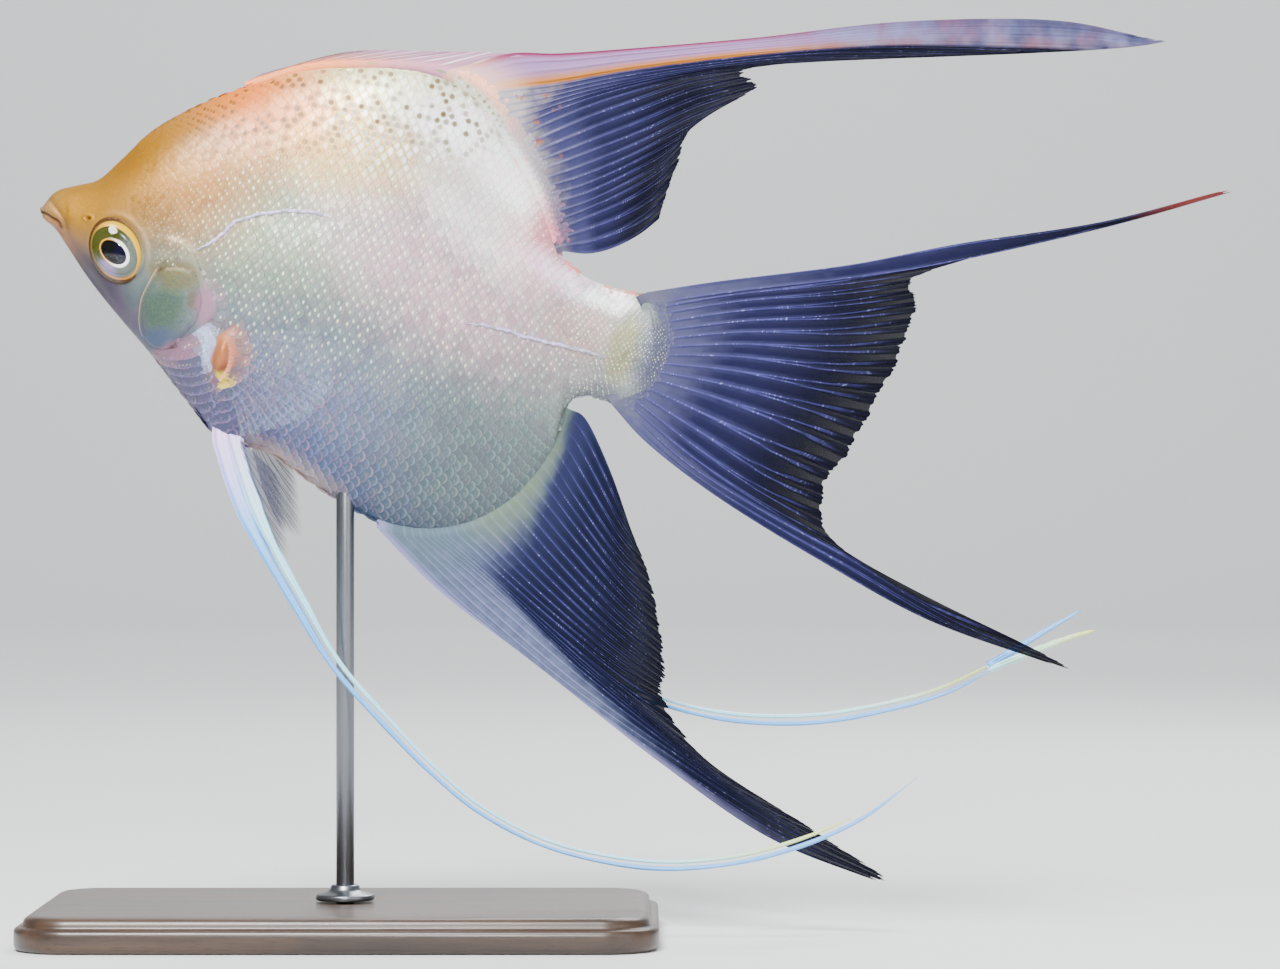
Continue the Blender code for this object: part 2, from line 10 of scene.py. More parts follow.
import bpy
import numpy as np
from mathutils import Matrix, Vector


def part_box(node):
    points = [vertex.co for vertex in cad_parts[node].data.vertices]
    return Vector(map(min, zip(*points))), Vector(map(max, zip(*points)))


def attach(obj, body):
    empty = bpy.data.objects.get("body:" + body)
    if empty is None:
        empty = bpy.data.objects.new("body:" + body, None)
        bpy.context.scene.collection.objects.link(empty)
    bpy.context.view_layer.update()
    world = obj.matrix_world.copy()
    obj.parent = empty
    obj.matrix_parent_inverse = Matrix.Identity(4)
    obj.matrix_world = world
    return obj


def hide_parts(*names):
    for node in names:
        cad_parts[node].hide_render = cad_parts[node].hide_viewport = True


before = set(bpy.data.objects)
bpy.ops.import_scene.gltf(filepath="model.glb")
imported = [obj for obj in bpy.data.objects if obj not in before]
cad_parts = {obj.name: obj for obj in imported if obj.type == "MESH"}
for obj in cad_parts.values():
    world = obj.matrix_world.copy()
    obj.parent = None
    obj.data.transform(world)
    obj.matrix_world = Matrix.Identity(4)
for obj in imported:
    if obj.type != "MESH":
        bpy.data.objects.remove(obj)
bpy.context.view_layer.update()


def milli(*rows):
    """Numbers, or nested rows of them, that are given in thousandths."""
    return tuple(milli(*row) if isinstance(row, tuple) else row / 1000 for row in rows)


# The body's driving sizes, as in the solids
STANDARD_LENGTH = 0.0875
NOSE_UP = math.radians(13.35)
SNOUT = Vector((-0.0435, 0.0, 0.1042))
EDGE_GAP = 0.00039 / STANDARD_LENGTH
FULLEST = 0.12

# Body sections from snout to tail: back u, v, belly u, v, half width, keenness of the ridges,
# and how far the section bows towards the tail
SECTIONS = milli(
    (1, 6, 2, -6, 9, 500, 0), (7, 25, 10, -15, 18, 500, 0), (21, 41, 30, -26, 28, 500, 0),
    (50, 56, 62, -56, 42, 520, 0), (80, 73, 96, -88, 57, 540, 0), (107, 112, 131, -117, 68, 560, 0),
    (145, 170, 172, -148, 78, 590, 0), (200, 223, 227, -189, 88, 620, 0),
    (270, 273, 300, -249, 94, 650, 0), (357, 324, 372, -300, 95, 670, 0),
    (455, 355, 455, -304, 91, 690, 0), (560, 372, 562, -345, 83, 710, 0),
    (650, 354, 680, -374, 70, 720, 0), (722, 290, 785, -352, 55, 720, 0),
    (786, 220, 864, -286, 41, 700, 0), (845, 131, 908, -192, 29, 660, 0),
    (886, 105, 914, -112, 22, 600, 4), (935, 93, 938, -91, 17, 560, 22),
    (985, 96, 975, -92, 13, 540, 46),
)

# Lines and outlines of the head, in u and v
MOUTH = milli((-4, -2), (8, -4), (20, -8), (33, -12), (41, -19))
UPPER_LIP = milli((2, 26), (13, 18), (28, 6), (42, -6), (50, -20))
LOWER_LIP = milli((0, -24), (16, -21), (32, -24), (46, -32))
JAW_FOLD = milli((50, -4), (60, -30), (80, -58), (112, -88), (150, -112))
CHEEK_RIDGE = milli((214, -52), (205, -80), (199, -110), (203, -140), (212, -160))
GILL_COVER = milli(
    (211, -63), (199, -110), (207, -156), (236, -174), (261, -168), (280, -142), (293, -119),
    (295, -87), (287, -67), (271, -42), (232, -45),
)
GILL_EDGE = milli(
    (236, 10), (265, -10), (288, -43), (320, -81), (324, -100), (312, -118), (299, -134),
    (269, -166), (232, -187), (196, -196), (170, -190),
)
FIN_LOBE = milli((352, -162), (34, 46))
NOSTRIL = milli(83, 4)
LATERAL_LINES = milli(
    ((270, -6), (295, 15), (322, 53), (360, 75), (398, 89), (433, 96), (468, 96)),
    ((719, -20), (772, -16), (826, -19), (905, -19), (954, -21)),
)

# Eyes: half the length of each axis of the eyeball, lean of the long one, and what shows of it.
# The pupil's place and half size are in x and z. The cornea stands out by one distance, and its
# inner face lies in by the other.
EYE_SIZE = (0.0040, 0.0030, 0.0051)
EYE_TILT = math.radians(25)
EYE_SHOWS = 0.884
PUPIL_AT = (-0.00044, -0.00036)
PUPIL_SIZE = (0.0022, 0.00145)
PUPIL_TILT = math.radians(-42)
CORNEA_OUT = 0.00005
CORNEA_IN = 0.00001

# Fin rays: where each leaves the body's edge, as a section number or as a height from -1 to 1,
# then the points it passes. The second tuple of each fin says which of its rays they are.
SPINES = milli(
    (8050, (286, 291), (300, 303)),
    (9000, (395, 352), (435, 372)),
    (10100, (520, 384), (575, 405)),
    (11100, (612, 400), (658, 424)),
    (11700, (680, 412), (730, 432)),
)
SPINE_NUMBERS = (0, 4, 8, 11, 13)
DORSAL = milli(
    (11300, (632, 397), (690, 429), (767, 447), (892, 486), (1080, 548), (1297, 625), (1536, 683),
     (1697, 690)),
    (12000, (715, 383), (777, 406), (900, 457), (1086, 524), (1305, 592), (1545, 643), (1650, 662),
     (1697, 682)),
    (12870, (787, 358), (883, 416), (997, 470), (1115, 510)),
    (13700, (837, 292), (924, 352), (1009, 418), (1095, 466)),
    (14250, (862, 235), (925, 285), (975, 332), (1010, 385)),
    (14650, (868, 192), (922, 232), (966, 275), (998, 318)),
    (15050, (887, 138), (924, 156), (961, 187), (989, 222)),
)
DORSAL_NUMBERS = (0, 3, 9, 14, 18, 21, 24)
CAUDAL = milli(
    (-1000, (1108, 144), (1309, 219), (1476, 294), (1692, 381), (1875, 477)),
    (-840, (1143, 136), (1314, 198), (1468, 261), (1694, 370), (1875, 470)),
    (-760, (1143, 130), (1314, 191), (1454, 247)),
    (-400, (1163, 90), (1312, 133), (1438, 180)),
    (0, (1169, 31), (1316, 49), (1423, 72)),
    (400, (1153, -43), (1291, -57), (1385, -72)),
    (660, (1140, -106), (1255, -143), (1361, -160)),
    (840, (1130, -146), (1270, -198), (1425, -243)),
    (900, (1120, -157), (1268, -208), (1421, -250), (1604, -306), (1796, -334)),
    (1000, (1057, -144), (1190, -203), (1371, -263), (1570, -318), (1796, -343)),
)
CAUDAL_NUMBERS = (0, 1, 2, 5, 8, 11, 13, 15, 16, 18)
ANAL = milli(
    (11720, (779, -457), (958, -537), (1194, -647), (1399, -727), (1600, -758)),
    (12150, (840, -465), (1031, -562), (1245, -646), (1410, -701), (1600, -745)),
    (12500, (896, -456), (1040, -533), (1190, -604), (1320, -660), (1460, -694)),
    (12750, (890, -434), (1010, -501), (1130, -562), (1275, -628)),
    (12980, (887, -416), (993, -471), (1096, -519), (1184, -548)),
    (13750, (956, -384), (1065, -450), (1172, -500)),
    (14400, (975, -323), (1067, -390), (1148, -434)),
    (15100, (976, -252), (1046, -316), (1112, -358)),
    (16000, (948, -128), (1004, -198), (1062, -288)),
)
ANAL_NUMBERS = (0, 2, 5, 8, 10, 15, 19, 23, 27)
PECTORAL_LEFT = milli(
    ((345, -130), (425, -108), (495, -88)),
    ((358, -152), (445, -150), (545, -162)),
    ((362, -178), (435, -200), (505, -236)),
    ((354, -203), (392, -240), (416, -288)),
)
PECTORAL_RIGHT = milli(
    ((346, -140), (270, -190), (205, -250)),
    ((350, -158), (288, -212), (232, -270)),
    ((352, -176), (305, -222), (262, -270)),
    ((352, -194), (320, -228), (292, -254)),
)
PECTORAL_ROOT_Y = 0.0078
PECTORAL_REACH_Y = 0.0068
SWAY = 0.0035

# Pelvic streamers: u, v, distance out from the middle and half the breadth
PELVIC_LEFT = milli(
    (374, -268, 1.1, 1.9), (391, -308, 1.6, 2.2), (439, -386, 2.6, 2.1), (491, -451, 3.4, 1.6),
    (561, -526, 4.2, 1.3), (644, -610, 5, 1), (738, -677, 5.6, 0.9), (838, -740, 6.2, 0.8),
    (936, -787, 6.7, 0.7), (1059, -814, 7.2, 0.7), (1208, -808, 7.7, 0.8), (1333, -773, 8, 0.8),
    (1437, -720, 8.3, 0.8), (1528, -652, 8.5, 0.7), (1603, -567, 8.6, 0.3),
)
PELVIC_RIGHT = milli(
    (380, -258, 2.8, 1.3), (398, -272, 3.4, 1.5), (466, -283, 4.4, 1.6), (557, -312, 4.8, 1.5),
    (651, -348, 5, 1.4), (747, -405, 5.3, 1.2), (845, -460, 5.7, 1), (926, -502, 6.2, 0.9),
    (1050, -537, 6.8, 0.8), (1186, -553, 7.4, 0.7), (1308, -549, 7.9, 0.8), (1438, -519, 8.3, 0.9),
    (1561, -465, 8.6, 0.8), (1636, -420, 8.8, 0.8), (1700, -366, 8.9, 0.6),
)
PELVIC_WEB = milli(
    ((405, -290), (447, -314), (484, -336)),
    ((406, -300), (458, -345), (506, -382)),
    ((407, -310), (463, -375), (520, -425)),
    ((410, -322), (463, -398), (530, -462)),
    ((416, -340), (452, -404), (497, -462)),
)
PRONGS = milli(
    ((1690, -370, 8.9, 0.6), (1768, -293, 8.9, 0.4), (1818, -245, 8.9, 0.2)),
    ((1690, -376, 8.9, 0.6), (1799, -301, 8.9, 0.4), (1848, -272, 8.9, 0.2)),
)

# Skin: how deep it lies under the coat, its rings, its points from back to belly, the rings that
# each one of the face is evened with, and its rounded ends in fractions of the standard length
COAT_DEPTH = 0.00028
SKIN_RINGS = 250
SKIN_POINTS = 132
EVEN_RINGS = 9
SNOUT_RINGS = 6
TAIL_RINGS = 10
SNOUT_BULGE = 0.0045
TAIL_REACH = 0.046

# Scales: the lattice they grow in, one scale's own shape, and its patch on the UV map
SCALE_PITCH = 0.00143
SCALE_ROW = 0.00100
SCALE_LENGTH = 0.00140
SCALE_BREADTH = 0.00112
SCALE_SLOPE = 0.020
SCALE_DOME = 0.000012
SCALE_LIFT = 0.000014
SCALE_RADII = (0.55, 0.955, 1.0)
SCALE_SPOKES = 12
PATCH = 0.0015

# Sheaths of scales on the fins: distance between rows, bare ends, and how far out each runs
SHEATH_ROW = 0.00052
SHEATH_MARGIN = 0.0016
DORSAL_SHEATH = 0.0037
CAUDAL_SHEATH = 0.0040

# Fins: columns of points to each ray, rows from root to rim, how far the root is let into the
# body, how much the rim frays, and half the thickness of membrane, ray, root and streamer
RAY_COLUMNS = 12
FIN_ROWS = 130
ROOT_DEPTH = 0.013
FRAY = 0.022
MEMBRANE = 0.00009
RAY_HEIGHT = 0.00020
ROOT_HEIGHT = 0.00032
STREAMER_THICKNESS = 0.00048

# Length of a tube of the lateral line, sides of the round shapes, and the base's corner radius
PORE_PITCH = 0.00115
LINE_SIDES = 10
STREAMER_SIDES = 28
ROD_SIDES = 96
EYE_SIDES = 112
BASE_SIDES = 128
BASE_CORNER = 0.008

# Markings of the body and a painted highlight, in the order they are laid: 8-bit colour, middle
# and reach in u and v, tilt in degrees, and how much of the colour shows
MARKINGS_AND_HIGHLIGHTS = (
    ((188, 192, 174), (0.34, 0.02), (0.26, 0.16), 0, 0.75),
    ((112, 140, 176), (0.43, -0.38), (0.54, 0.4), 0, 0.95),
    ((84, 114, 150), (0.68, -0.38), (0.3, 0.15), 0, 0.7),
    ((126, 120, 156), (0.24, -0.29), (0.26, 0.2), 0, 0.9),
    ((126, 144, 148), (0.8, -0.25), (0.24, 0.2), 0, 0.85),
    ((216, 204, 208), (0.7, 0.05), (0.3, 0.17), -12, 0.85),
    ((222, 164, 176), (0.8, 0.155), (0.11, 0.09), -55, 0.95),
    ((236, 214, 176), (0.43, 0.24), (0.26, 0.13), 4, 0.8),
    ((236, 226, 210), (0.47, 0.33), (0.24, 0.07), 0, 0.85),
    # The next two white rows are the sheen along the upper back: the fish's own pale colour, with a
    # painted highlight over it
    ((250, 250, 250), (0.62, 0.29), (0.13, 0.07), -20, 1.0),
    ((250, 249, 250), (0.725, 0.225), (0.16, 0.065), -40, 1.0),
    ((234, 228, 230), (0.69, 0.14), (0.17, 0.06), -32, 0.65),
    ((212, 164, 176), (0.815, 0.16), (0.075, 0.055), -55, 0.75),
    ((228, 224, 230), (0.85, 0.095), (0.12, 0.038), -18, 0.8),
    ((228, 130, 0), (0.285, 0.245), (0.2, 0.13), 30, 0.92),
    ((190, 168, 124), (0.31, 0.13), (0.11, 0.09), 20, 0.55),
    ((206, 150, 58), (0.215, 0.1), (0.14, 0.16), 40, 0.8),
    ((204, 118, 0), (0.13, 0.12), (0.2, 0.16), 50, 1.0),
    ((208, 126, 0), (0.065, 0.018), (0.12, 0.105), 0, 1.0),
    ((206, 168, 128), (0.052, -0.046), (0.075, 0.026), -42, 0.8),
    ((112, 92, 134), (0.135, -0.118), (0.14, 0.07), -42, 0.9),
    ((92, 84, 104), (0.108, -0.084), (0.07, 0.04), -42, 0.6),
    ((104, 134, 138), (0.19, -0.085), (0.03, 0.05), -10, 0.5),
    ((112, 140, 128), (0.24, -0.104), (0.054, 0.06), 0, 0.95),
    ((112, 142, 170), (0.236, -0.158), (0.05, 0.032), 0, 0.9),
    ((160, 140, 92), (0.245, -0.05), (0.06, 0.03), 0, 0.85),
    ((150, 112, 96), (0.286, -0.082), (0.016, 0.028), 20, 0.7),
    ((194, 172, 186), (0.308, -0.092), (0.024, 0.062), 10, 0.9),
    ((194, 170, 182), (0.27, -0.17), (0.078, 0.022), 28, 0.8),
    ((214, 168, 132), (0.352, -0.166), (0.046, 0.06), 0, 0.8),
    ((212, 222, 240), (0.318, -0.158), (0.022, 0.045), 8, 0.85),
    ((206, 154, 98), (0.35, -0.16), (0.018, 0.048), 10, 0.85),
    ((252, 214, 120), (0.356, -0.2), (0.022, 0.02), 0, 0.95),
    ((250, 246, 242), (0.935, 0.072), (0.07, 0.03), 8, 0.95),
    ((206, 192, 186), (0.9, 0.01), (0.08, 0.06), 0, 0.6),
    ((190, 180, 138), (0.975, 0.0), (0.035, 0.08), 0, 0.65),
    ((134, 140, 158), (0.96, -0.085), (0.075, 0.036), 0, 0.6),
    ((122, 130, 158), (1.055, 0.0), (0.075, 0.17), 0, 0.95),
)
WIDE_MARKING = 0.10
UNTINTED = (1.0, 1.0, 1.0)

# Studio: the light on a white surface that faces the camera, lamps as name, place, size and
# power, what they point at, the floor's upward bend, and the camera. The film's mix and shift
# are for logarithms of red, green and blue.
STUDIO_LIGHT = 3.1
FILM = ((0.98, -0.03, 0.0), (-0.10, 1.13, -0.02), (0.06, -0.14, 0.97))
FILM_SHIFT = (-0.09, -0.05, -0.07)
LAMPS = (
    ("key", (-0.12, -0.46, 0.62), 0.30, 13.5),
    ("fill", (0.60, -0.55, 0.25), 0.60, 2.0),
    ("rim", (0.20, 0.45, 0.55), 0.50, 6.0),
    ("glint", (0.02, -0.68, 0.28), 0.05, 3.0),
    ("backdrop", (0.04, 0.80, 1.30), 1.00, 26.0),
)
LAMP_AIM = (0.042, 0.0, 0.062)
BACKDROP_AIM = (0.04, 2.2, 0.7)
WORLD_LIGHT = (0.36, 0.37, 0.38)
FLOOR_BACK = 1.6
FLOOR_BEND = 0.6
CAMERA_AT = (0.0423, -0.70, 0.0649)
VIEW_WIDTH = 0.18368
SENSOR = 36.0


# ---------------------------------------------------------------- curves and the body's shape


def ease(value, low, high):
    """0 to 1 as the value goes from low to high, with soft ends."""
    t = np.clip((np.asarray(value, float) - low) / (high - low), 0, 1)
    return t * t * (3 - 2 * t)


def hump(distance, reach):
    """A rounded ridge: 1 where the distance is 0, gone at about twice the reach."""
    return np.exp(-((distance / reach) ** 2))


def smooth(rows, places):
    """Rows of numbers, read at fractional places along a smooth curve through them."""
    rows = np.asarray(rows, float)
    places = np.clip(np.asarray(places, float), 0, len(rows) - 1)
    padded = np.vstack([2 * rows[0] - rows[1], rows, 2 * rows[-1] - rows[-2]])
    first = np.minimum(places.astype(int), len(rows) - 2)
    t = (places - first)[:, None]
    a, b, c, d = (padded[first + k] for k in range(4))
    bend = (2 * a - 5 * b + 4 * c - d) * t**2 + (3 * b - a - 3 * c + d) * t**3
    return 0.5 * (2 * b + (c - a) * t + bend)


def total(steps):
    """Running totals of each row of numbers, starting at 0."""
    start = np.zeros((*np.shape(steps)[:-1], 1), int)
    return np.concatenate([start, np.cumsum(steps, axis=-1)], axis=-1)


def even(points, count):
    """This many points at even distances along a smooth curve through the given ones."""
    fine = smooth(points, np.linspace(0, len(points) - 1, 40 * len(points)))
    run = total(np.linalg.norm(np.diff(fine[:, :2], axis=0), axis=1))
    wanted = np.linspace(0, run[-1], count)
    return np.stack([np.interp(wanted, run, column) for column in fine.T], axis=1)


def place(uv, y):
    """World points from body fractions and the distance in metres from the middle plane."""
    uv = np.asarray(uv, float) * STANDARD_LENGTH
    x = SNOUT.x + uv[..., 0] * math.cos(NOSE_UP) + uv[..., 1] * math.sin(NOSE_UP)
    z = SNOUT.z - uv[..., 0] * math.sin(NOSE_UP) + uv[..., 1] * math.cos(NOSE_UP)
    return np.stack([x, np.broadcast_to(y, x.shape), z], axis=-1)


def body(sections, heights):
    """u, v and half width over a grid: heights run from -1 on the back to 1 on the belly."""
    row = smooth(SECTIONS, sections)
    f = np.asarray(heights, float)[None, :]
    back, belly = row[:, None, 0:2], row[:, None, 2:4]
    width, keen, bow = (row[:, k, None] for k in (4, 5, 6))
    line = back + (belly - back) * (f[..., None] + 1) / 2
    line[..., 0] += bow * (1 - f**2)
    level = f - FULLEST * (1 - f**2)
    half = width * np.maximum(1 - level**2, 0) ** keen
    return line, half


def back_edge(places, near=0):
    """The line that the upper fins leave from, or with near=1 the one on the belly."""
    line, _ = body(places, [-1, 1])
    return line[:, near] + EDGE_GAP * unit(line[:, near] - line[:, 1 - near])


def belly_edge(places):
    return back_edge(places, near=1)


def tail_edge(heights):
    line, _ = body([len(SECTIONS) - 1], heights)
    return line[0] + (EDGE_GAP, 0)


def sway(uv):
    """How far out of the middle plane a median fin drifts, in metres."""
    u, v = uv[..., 0] - 0.45, uv[..., 1]
    reach = np.maximum(np.hypot(u, v) - 0.4, 0)
    return -SWAY * reach**2 * np.sin(2.5 * np.arctan2(v, u) + 0.6)


def from_line(uv, points, closed=False):
    """Each place's distance from a line, its side (1 left of the line's way), and how far along."""
    points = [*points, points[0]] if closed else points
    line = even(points, 90)
    way = np.gradient(line, axis=0)
    flat = uv.reshape(-1, 2)
    gap = flat[:, None, :] - line[None, :, :]
    far = np.hypot(gap[..., 0], gap[..., 1])
    near = far.argmin(axis=1)
    row = np.arange(len(flat))
    turn = way[near, 0] * gap[row, near, 1] - way[near, 1] * gap[row, near, 0]
    shape = uv.shape[:-1]
    return far[row, near].reshape(shape), np.sign(turn).reshape(shape), (near / 89.0).reshape(shape)


def from_oval(uv, oval):
    """Distance from the middle of an upright oval, in units of its own half sizes."""
    (u, v), (half_u, half_v) = oval
    return np.hypot((uv[..., 0] - u) / half_u, (uv[..., 1] - v) / half_v)


def sample(grid, i, j):
    """Values of a grid at fractional row and column numbers."""
    a = np.clip(i.astype(int), 0, grid.shape[0] - 2)
    b = np.clip(j.astype(int), 0, grid.shape[1] - 2)
    s, t = (i - a), (j - b)
    if grid.ndim == 3:
        s, t = s[:, None], t[:, None]
    low = grid[a, b] * (1 - t) + grid[a, b + 1] * t
    high = grid[a + 1, b] * (1 - t) + grid[a + 1, b + 1] * t
    return low * (1 - s) + high * s


def spokes(count):
    """Directions at equal turns round a circle."""
    return np.arange(count) * math.tau / count


def unit(vectors):
    return vectors / np.maximum(np.linalg.norm(vectors, axis=-1, keepdims=True), 1e-12)


# ---------------------------------------------------------------- meshes


def put(name, data):
    """A new object in the scene."""
    made = bpy.data.objects.new(name, data)
    bpy.context.scene.collection.objects.link(made)
    return made


def make(name, points, faces, finish, values, uv, flat=None):
    """An object from points and arrays of faces. uv is by corner in a list, or else by point.

    The array of faces that flat counts out stays flat-shaded.
    """
    points = np.asarray(points, float).reshape(-1, 3)
    volume = 0.0
    for group in faces:
        for k in range(1, group.shape[1] - 1):
            a, b, c = (points[group[:, n]] for n in (0, k, k + 1))
            volume += np.einsum("ij,ij->i", a, np.cross(b, c)).sum()
    turn = slice(None, None, -1 if volume < 0 else 1)
    corners = np.concatenate([group[:, turn].ravel() for group in faces])
    sizes = np.concatenate([np.full(len(group), group.shape[1]) for group in faces])
    rounded = np.concatenate([np.full(len(group), n != flat) for n, group in enumerate(faces)])
    mesh = bpy.data.meshes.new(name)
    mesh.vertices.add(len(points))
    mesh.vertices.foreach_set("co", points.astype(np.float32).ravel())
    mesh.loops.add(len(corners))
    mesh.loops.foreach_set("vertex_index", corners.astype(np.int32))
    mesh.polygons.add(len(sizes))
    mesh.polygons.foreach_set("loop_start", total(sizes)[:-1].astype(np.int32))
    mesh.polygons.foreach_set("use_smooth", rounded)
    mesh.update(calc_edges=True)
    for key, value in values.items():
        layer = mesh.attributes.new(key, "FLOAT", "POINT")
        layer.data.foreach_set("value", np.asarray(value, np.float32).ravel())
    if isinstance(uv, list):
        uv = np.concatenate([group[:, turn].reshape(-1, 2) for group in uv])
    else:
        uv = uv[corners]
    layer = mesh.uv_layers.new(name="OFBake")
    layer.uv.foreach_set("vector", uv.astype(np.float32).ravel())
    mesh.materials.append(finish.material)
    return put(name, mesh)


def tube(steps, count, over):
    """Faces between closed rings of points, and each corner's place along and round, 0 to 1."""
    i, k = np.meshgrid(np.arange(steps - 1), np.arange(count), indexing="ij")
    here, after = i * count + k, i * count + (k + 1) % count
    faces = np.stack([here, here + count, after + count, after], axis=-1)
    low, high, left, right = i / over, (i + 1) / over, k / count, (k + 1) / count
    corners = (low, left), (high, left), (high, right), (low, right)
    uv = np.stack([np.stack(corner, axis=-1) for corner in corners], axis=2)
    return faces.reshape(-1, 4), uv.reshape(-1, 4, 2)


def keep(piece, slot, *nodes):
    """Fixes a piece to the model and hides the solids that it stands for. Its slot is not used."""
    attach(piece, "root")
    if nodes:
        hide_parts(*nodes)


# ---------------------------------------------------------------- skin


def ring_places(count):
    """Section numbers for the skin's rings: closest on the head, where the detail is."""
    fine = np.linspace(0, len(SECTIONS) - 1, 900)
    line, _ = body(fine, [-1, 0, 1])
    steps = np.linalg.norm(np.diff(line, axis=0), axis=2).max(axis=1)
    weight = 1 + 1.3 * (1 - ease(line[1:, 1, 0], 0.30, 0.42))
    run = total(steps * weight)
    return np.interp(np.linspace(0, run[-1], count), run, fine)


def coat_depth(uv):
    """How far the skin lies inside the solids: the scales' depth, and little on the bare face."""
    u, v = uv[..., 0], uv[..., 1]
    return COAT_DEPTH * (0.15 + 0.85 * ease(u + 0.25 * v, 0.10, 0.34))


def cover_shape(uv):
    """The gill cover: how far inside its edge a place is, its side, and its raised middle."""
    far, side, _ = from_line(uv, GILL_COVER, closed=True)
    return far * side, ease(far * side, -0.002, 0.006)


def gill_fold(uv):
    """1 on the soft fold behind the gill cover, which ends in a free edge."""
    far, side, along = from_line(uv, GILL_EDGE)
    ahead = far * np.where(side < 0, 1, -1)
    near = (uv[..., 0] > 0.15) * (uv[..., 0] < 0.34) * ease(uv[..., 1], 0.010, -0.006)
    return ease(ahead, -0.003, 0.003) * near, far, along


def out_of_eye(x, z):
    """How far out places are from the eye's middle: 1 on its widest outline."""
    cos, sin = math.cos(EYE_TILT), math.sin(EYE_TILT)
    return np.hypot((x * cos + z * sin) / EYE_SIZE[0], (z * cos - x * sin) / EYE_SIZE[2])


def eye_gap(points):
    """How far out world points are from the left eye's middle: 1 on the outline that shows."""
    low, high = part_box("eye_left")
    centre = (low + high) / 2
    return out_of_eye(points[..., 0] - centre.x, points[..., 2] - centre.z) / EYE_SHOWS


def skin_relief(uv, points):
    """Metres by which the skin stands out, and how deep it lies in a crease, where the finish
    paints shade.
    """
    u, v = uv[..., 0], uv[..., 1]
    rise = np.zeros(u.shape)
    crease = np.zeros(u.shape)
    mm = 0.001

    mouth, _, reach = from_line(uv, MOUTH)
    taper = 1 - ease(reach, 0.75, 1.0)
    rise -= 0.42 * mm * hump(mouth, 0.0030) * (0.35 + 0.65 * taper)
    crease += hump(mouth, 0.0034)
    for lip, height in ((UPPER_LIP, 0.20), (LOWER_LIP, 0.16)):
        far, _, _ = from_line(uv, lip)
        rise -= height * mm * hump(far, 0.0045)
        crease += 0.45 * hump(far, 0.0040)
    rise += 0.22 * mm * hump(mouth, 0.016)

    fold, side, reach = from_line(uv, JAW_FOLD)
    upper = ease(fold * side, -0.008, 0.008) * hump(fold, 0.020)
    rise += 0.22 * mm * upper * ease(1 - reach, 0, 0.4)
    crease += 0.35 * hump(fold, 0.0045)

    hole = from_oval(uv, (NOSTRIL, (0.0060, 0.0048)))
    rise += mm * (0.16 * hump(hole - 1.0, 0.45) - 0.55 * hump(hole, 0.62))
    crease += hump(hole, 0.62)

    seen = eye_gap(points)
    rise += mm * (0.12 * hump(seen - 1.16, 0.12) - 0.26 * hump(seen - 1.03, 0.050))
    rise -= 1.3 * mm * (1 - ease(seen, 0.80, 0.98))
    crease += 0.6 * hump(seen - 1.035, 0.04)

    ridge, side, _ = from_line(uv, CHEEK_RIDGE)
    rise += mm * (0.16 * hump(ridge, 0.0024) - 0.16 * hump(ridge - 0.006, 0.004) * (side > 0))
    crease += 0.5 * hump(ridge - 0.005, 0.003) * (side > 0)

    depth, raised = cover_shape(uv)
    fold, edge, _ = gill_fold(uv)
    rise += 0.30 * mm * raised + 0.35 * mm * ease(depth, 0.0, 0.05)
    rise += 0.26 * mm * fold * ease(u, 0.19, 0.23)
    crease += 0.7 * hump(depth + 0.002, 0.0022) * (u > 0.215)
    crease += 0.8 * hump(edge - 0.002, 0.0028) * (1 - fold) * (u > 0.18) * (u < 0.34) * (v < 0.02)

    lobe = from_oval(uv, FIN_LOBE)
    stalk = from_oval(uv, ((0.350, -0.166), (0.013, 0.036)))
    rise += 1.05 * mm * (1 - ease(lobe, 0.15, 1.05)) + 0.85 * mm * (1 - ease(stalk, 0.35, 1.0))
    rise += 0.10 * mm * np.sin(u * 900) * (1 - ease(lobe, 0.3, 0.9))
    knob = from_oval(uv, ((0.357, -0.198), (0.015, 0.012)))
    rise += 0.5 * mm * (1 - ease(knob, 0.1, 1.0))

    for line in LATERAL_LINES:
        far, _, _ = from_line(uv, line)
        rise += 0.06 * mm * hump(far, 0.006)

    brow = from_oval(uv, ((0.118, 0.052), (0.070, 0.045)))
    rise += 0.15 * mm * hump(brow, 0.9)
    pores = np.sin(u * 1310 + 2 * np.sin(v * 610)) * np.sin(v * 1170 + 2 * np.sin(u * 530))
    rise += 0.012 * mm * pores
    return rise, np.clip(crease, 0, 1)


def body_rings():
    """Every ring of the skin: its u and v, its half width and its height numbers."""
    t = np.linspace(0, 1, SKIN_POINTS)
    heights = 0.72 * (2 * t - 1) - 0.28 * np.cos(math.pi * t)
    line, half = body(ring_places(SKIN_RINGS), heights)
    front, rear = [], []
    middle = (line[0, :1] + line[0, -1:]) / 2
    for k in range(SNOUT_RINGS, 0, -1):
        turn = math.radians(84) * k / SNOUT_RINGS
        shifted = middle + (line[0] - middle) * math.cos(turn) - (SNOUT_BULGE * math.sin(turn), 0)
        front.append((shifted, half[0] * math.cos(turn)))
    for k in range(1, TAIL_RINGS + 1):
        part = k / TAIL_RINGS
        spread = (line[-1] - line[-1].mean(axis=0)) * (0, 0.06 * part)
        thin = half[-1] * (1 - part) ** 1.2 + 0.0030
        rear.append((line[-1] + (TAIL_REACH * part, 0) + spread, thin))
    line = np.concatenate([[r[0] for r in front], line, [r[0] for r in rear]])
    half = np.concatenate([[r[1] for r in front], half, [r[1] for r in rear]])
    return line, half, heights


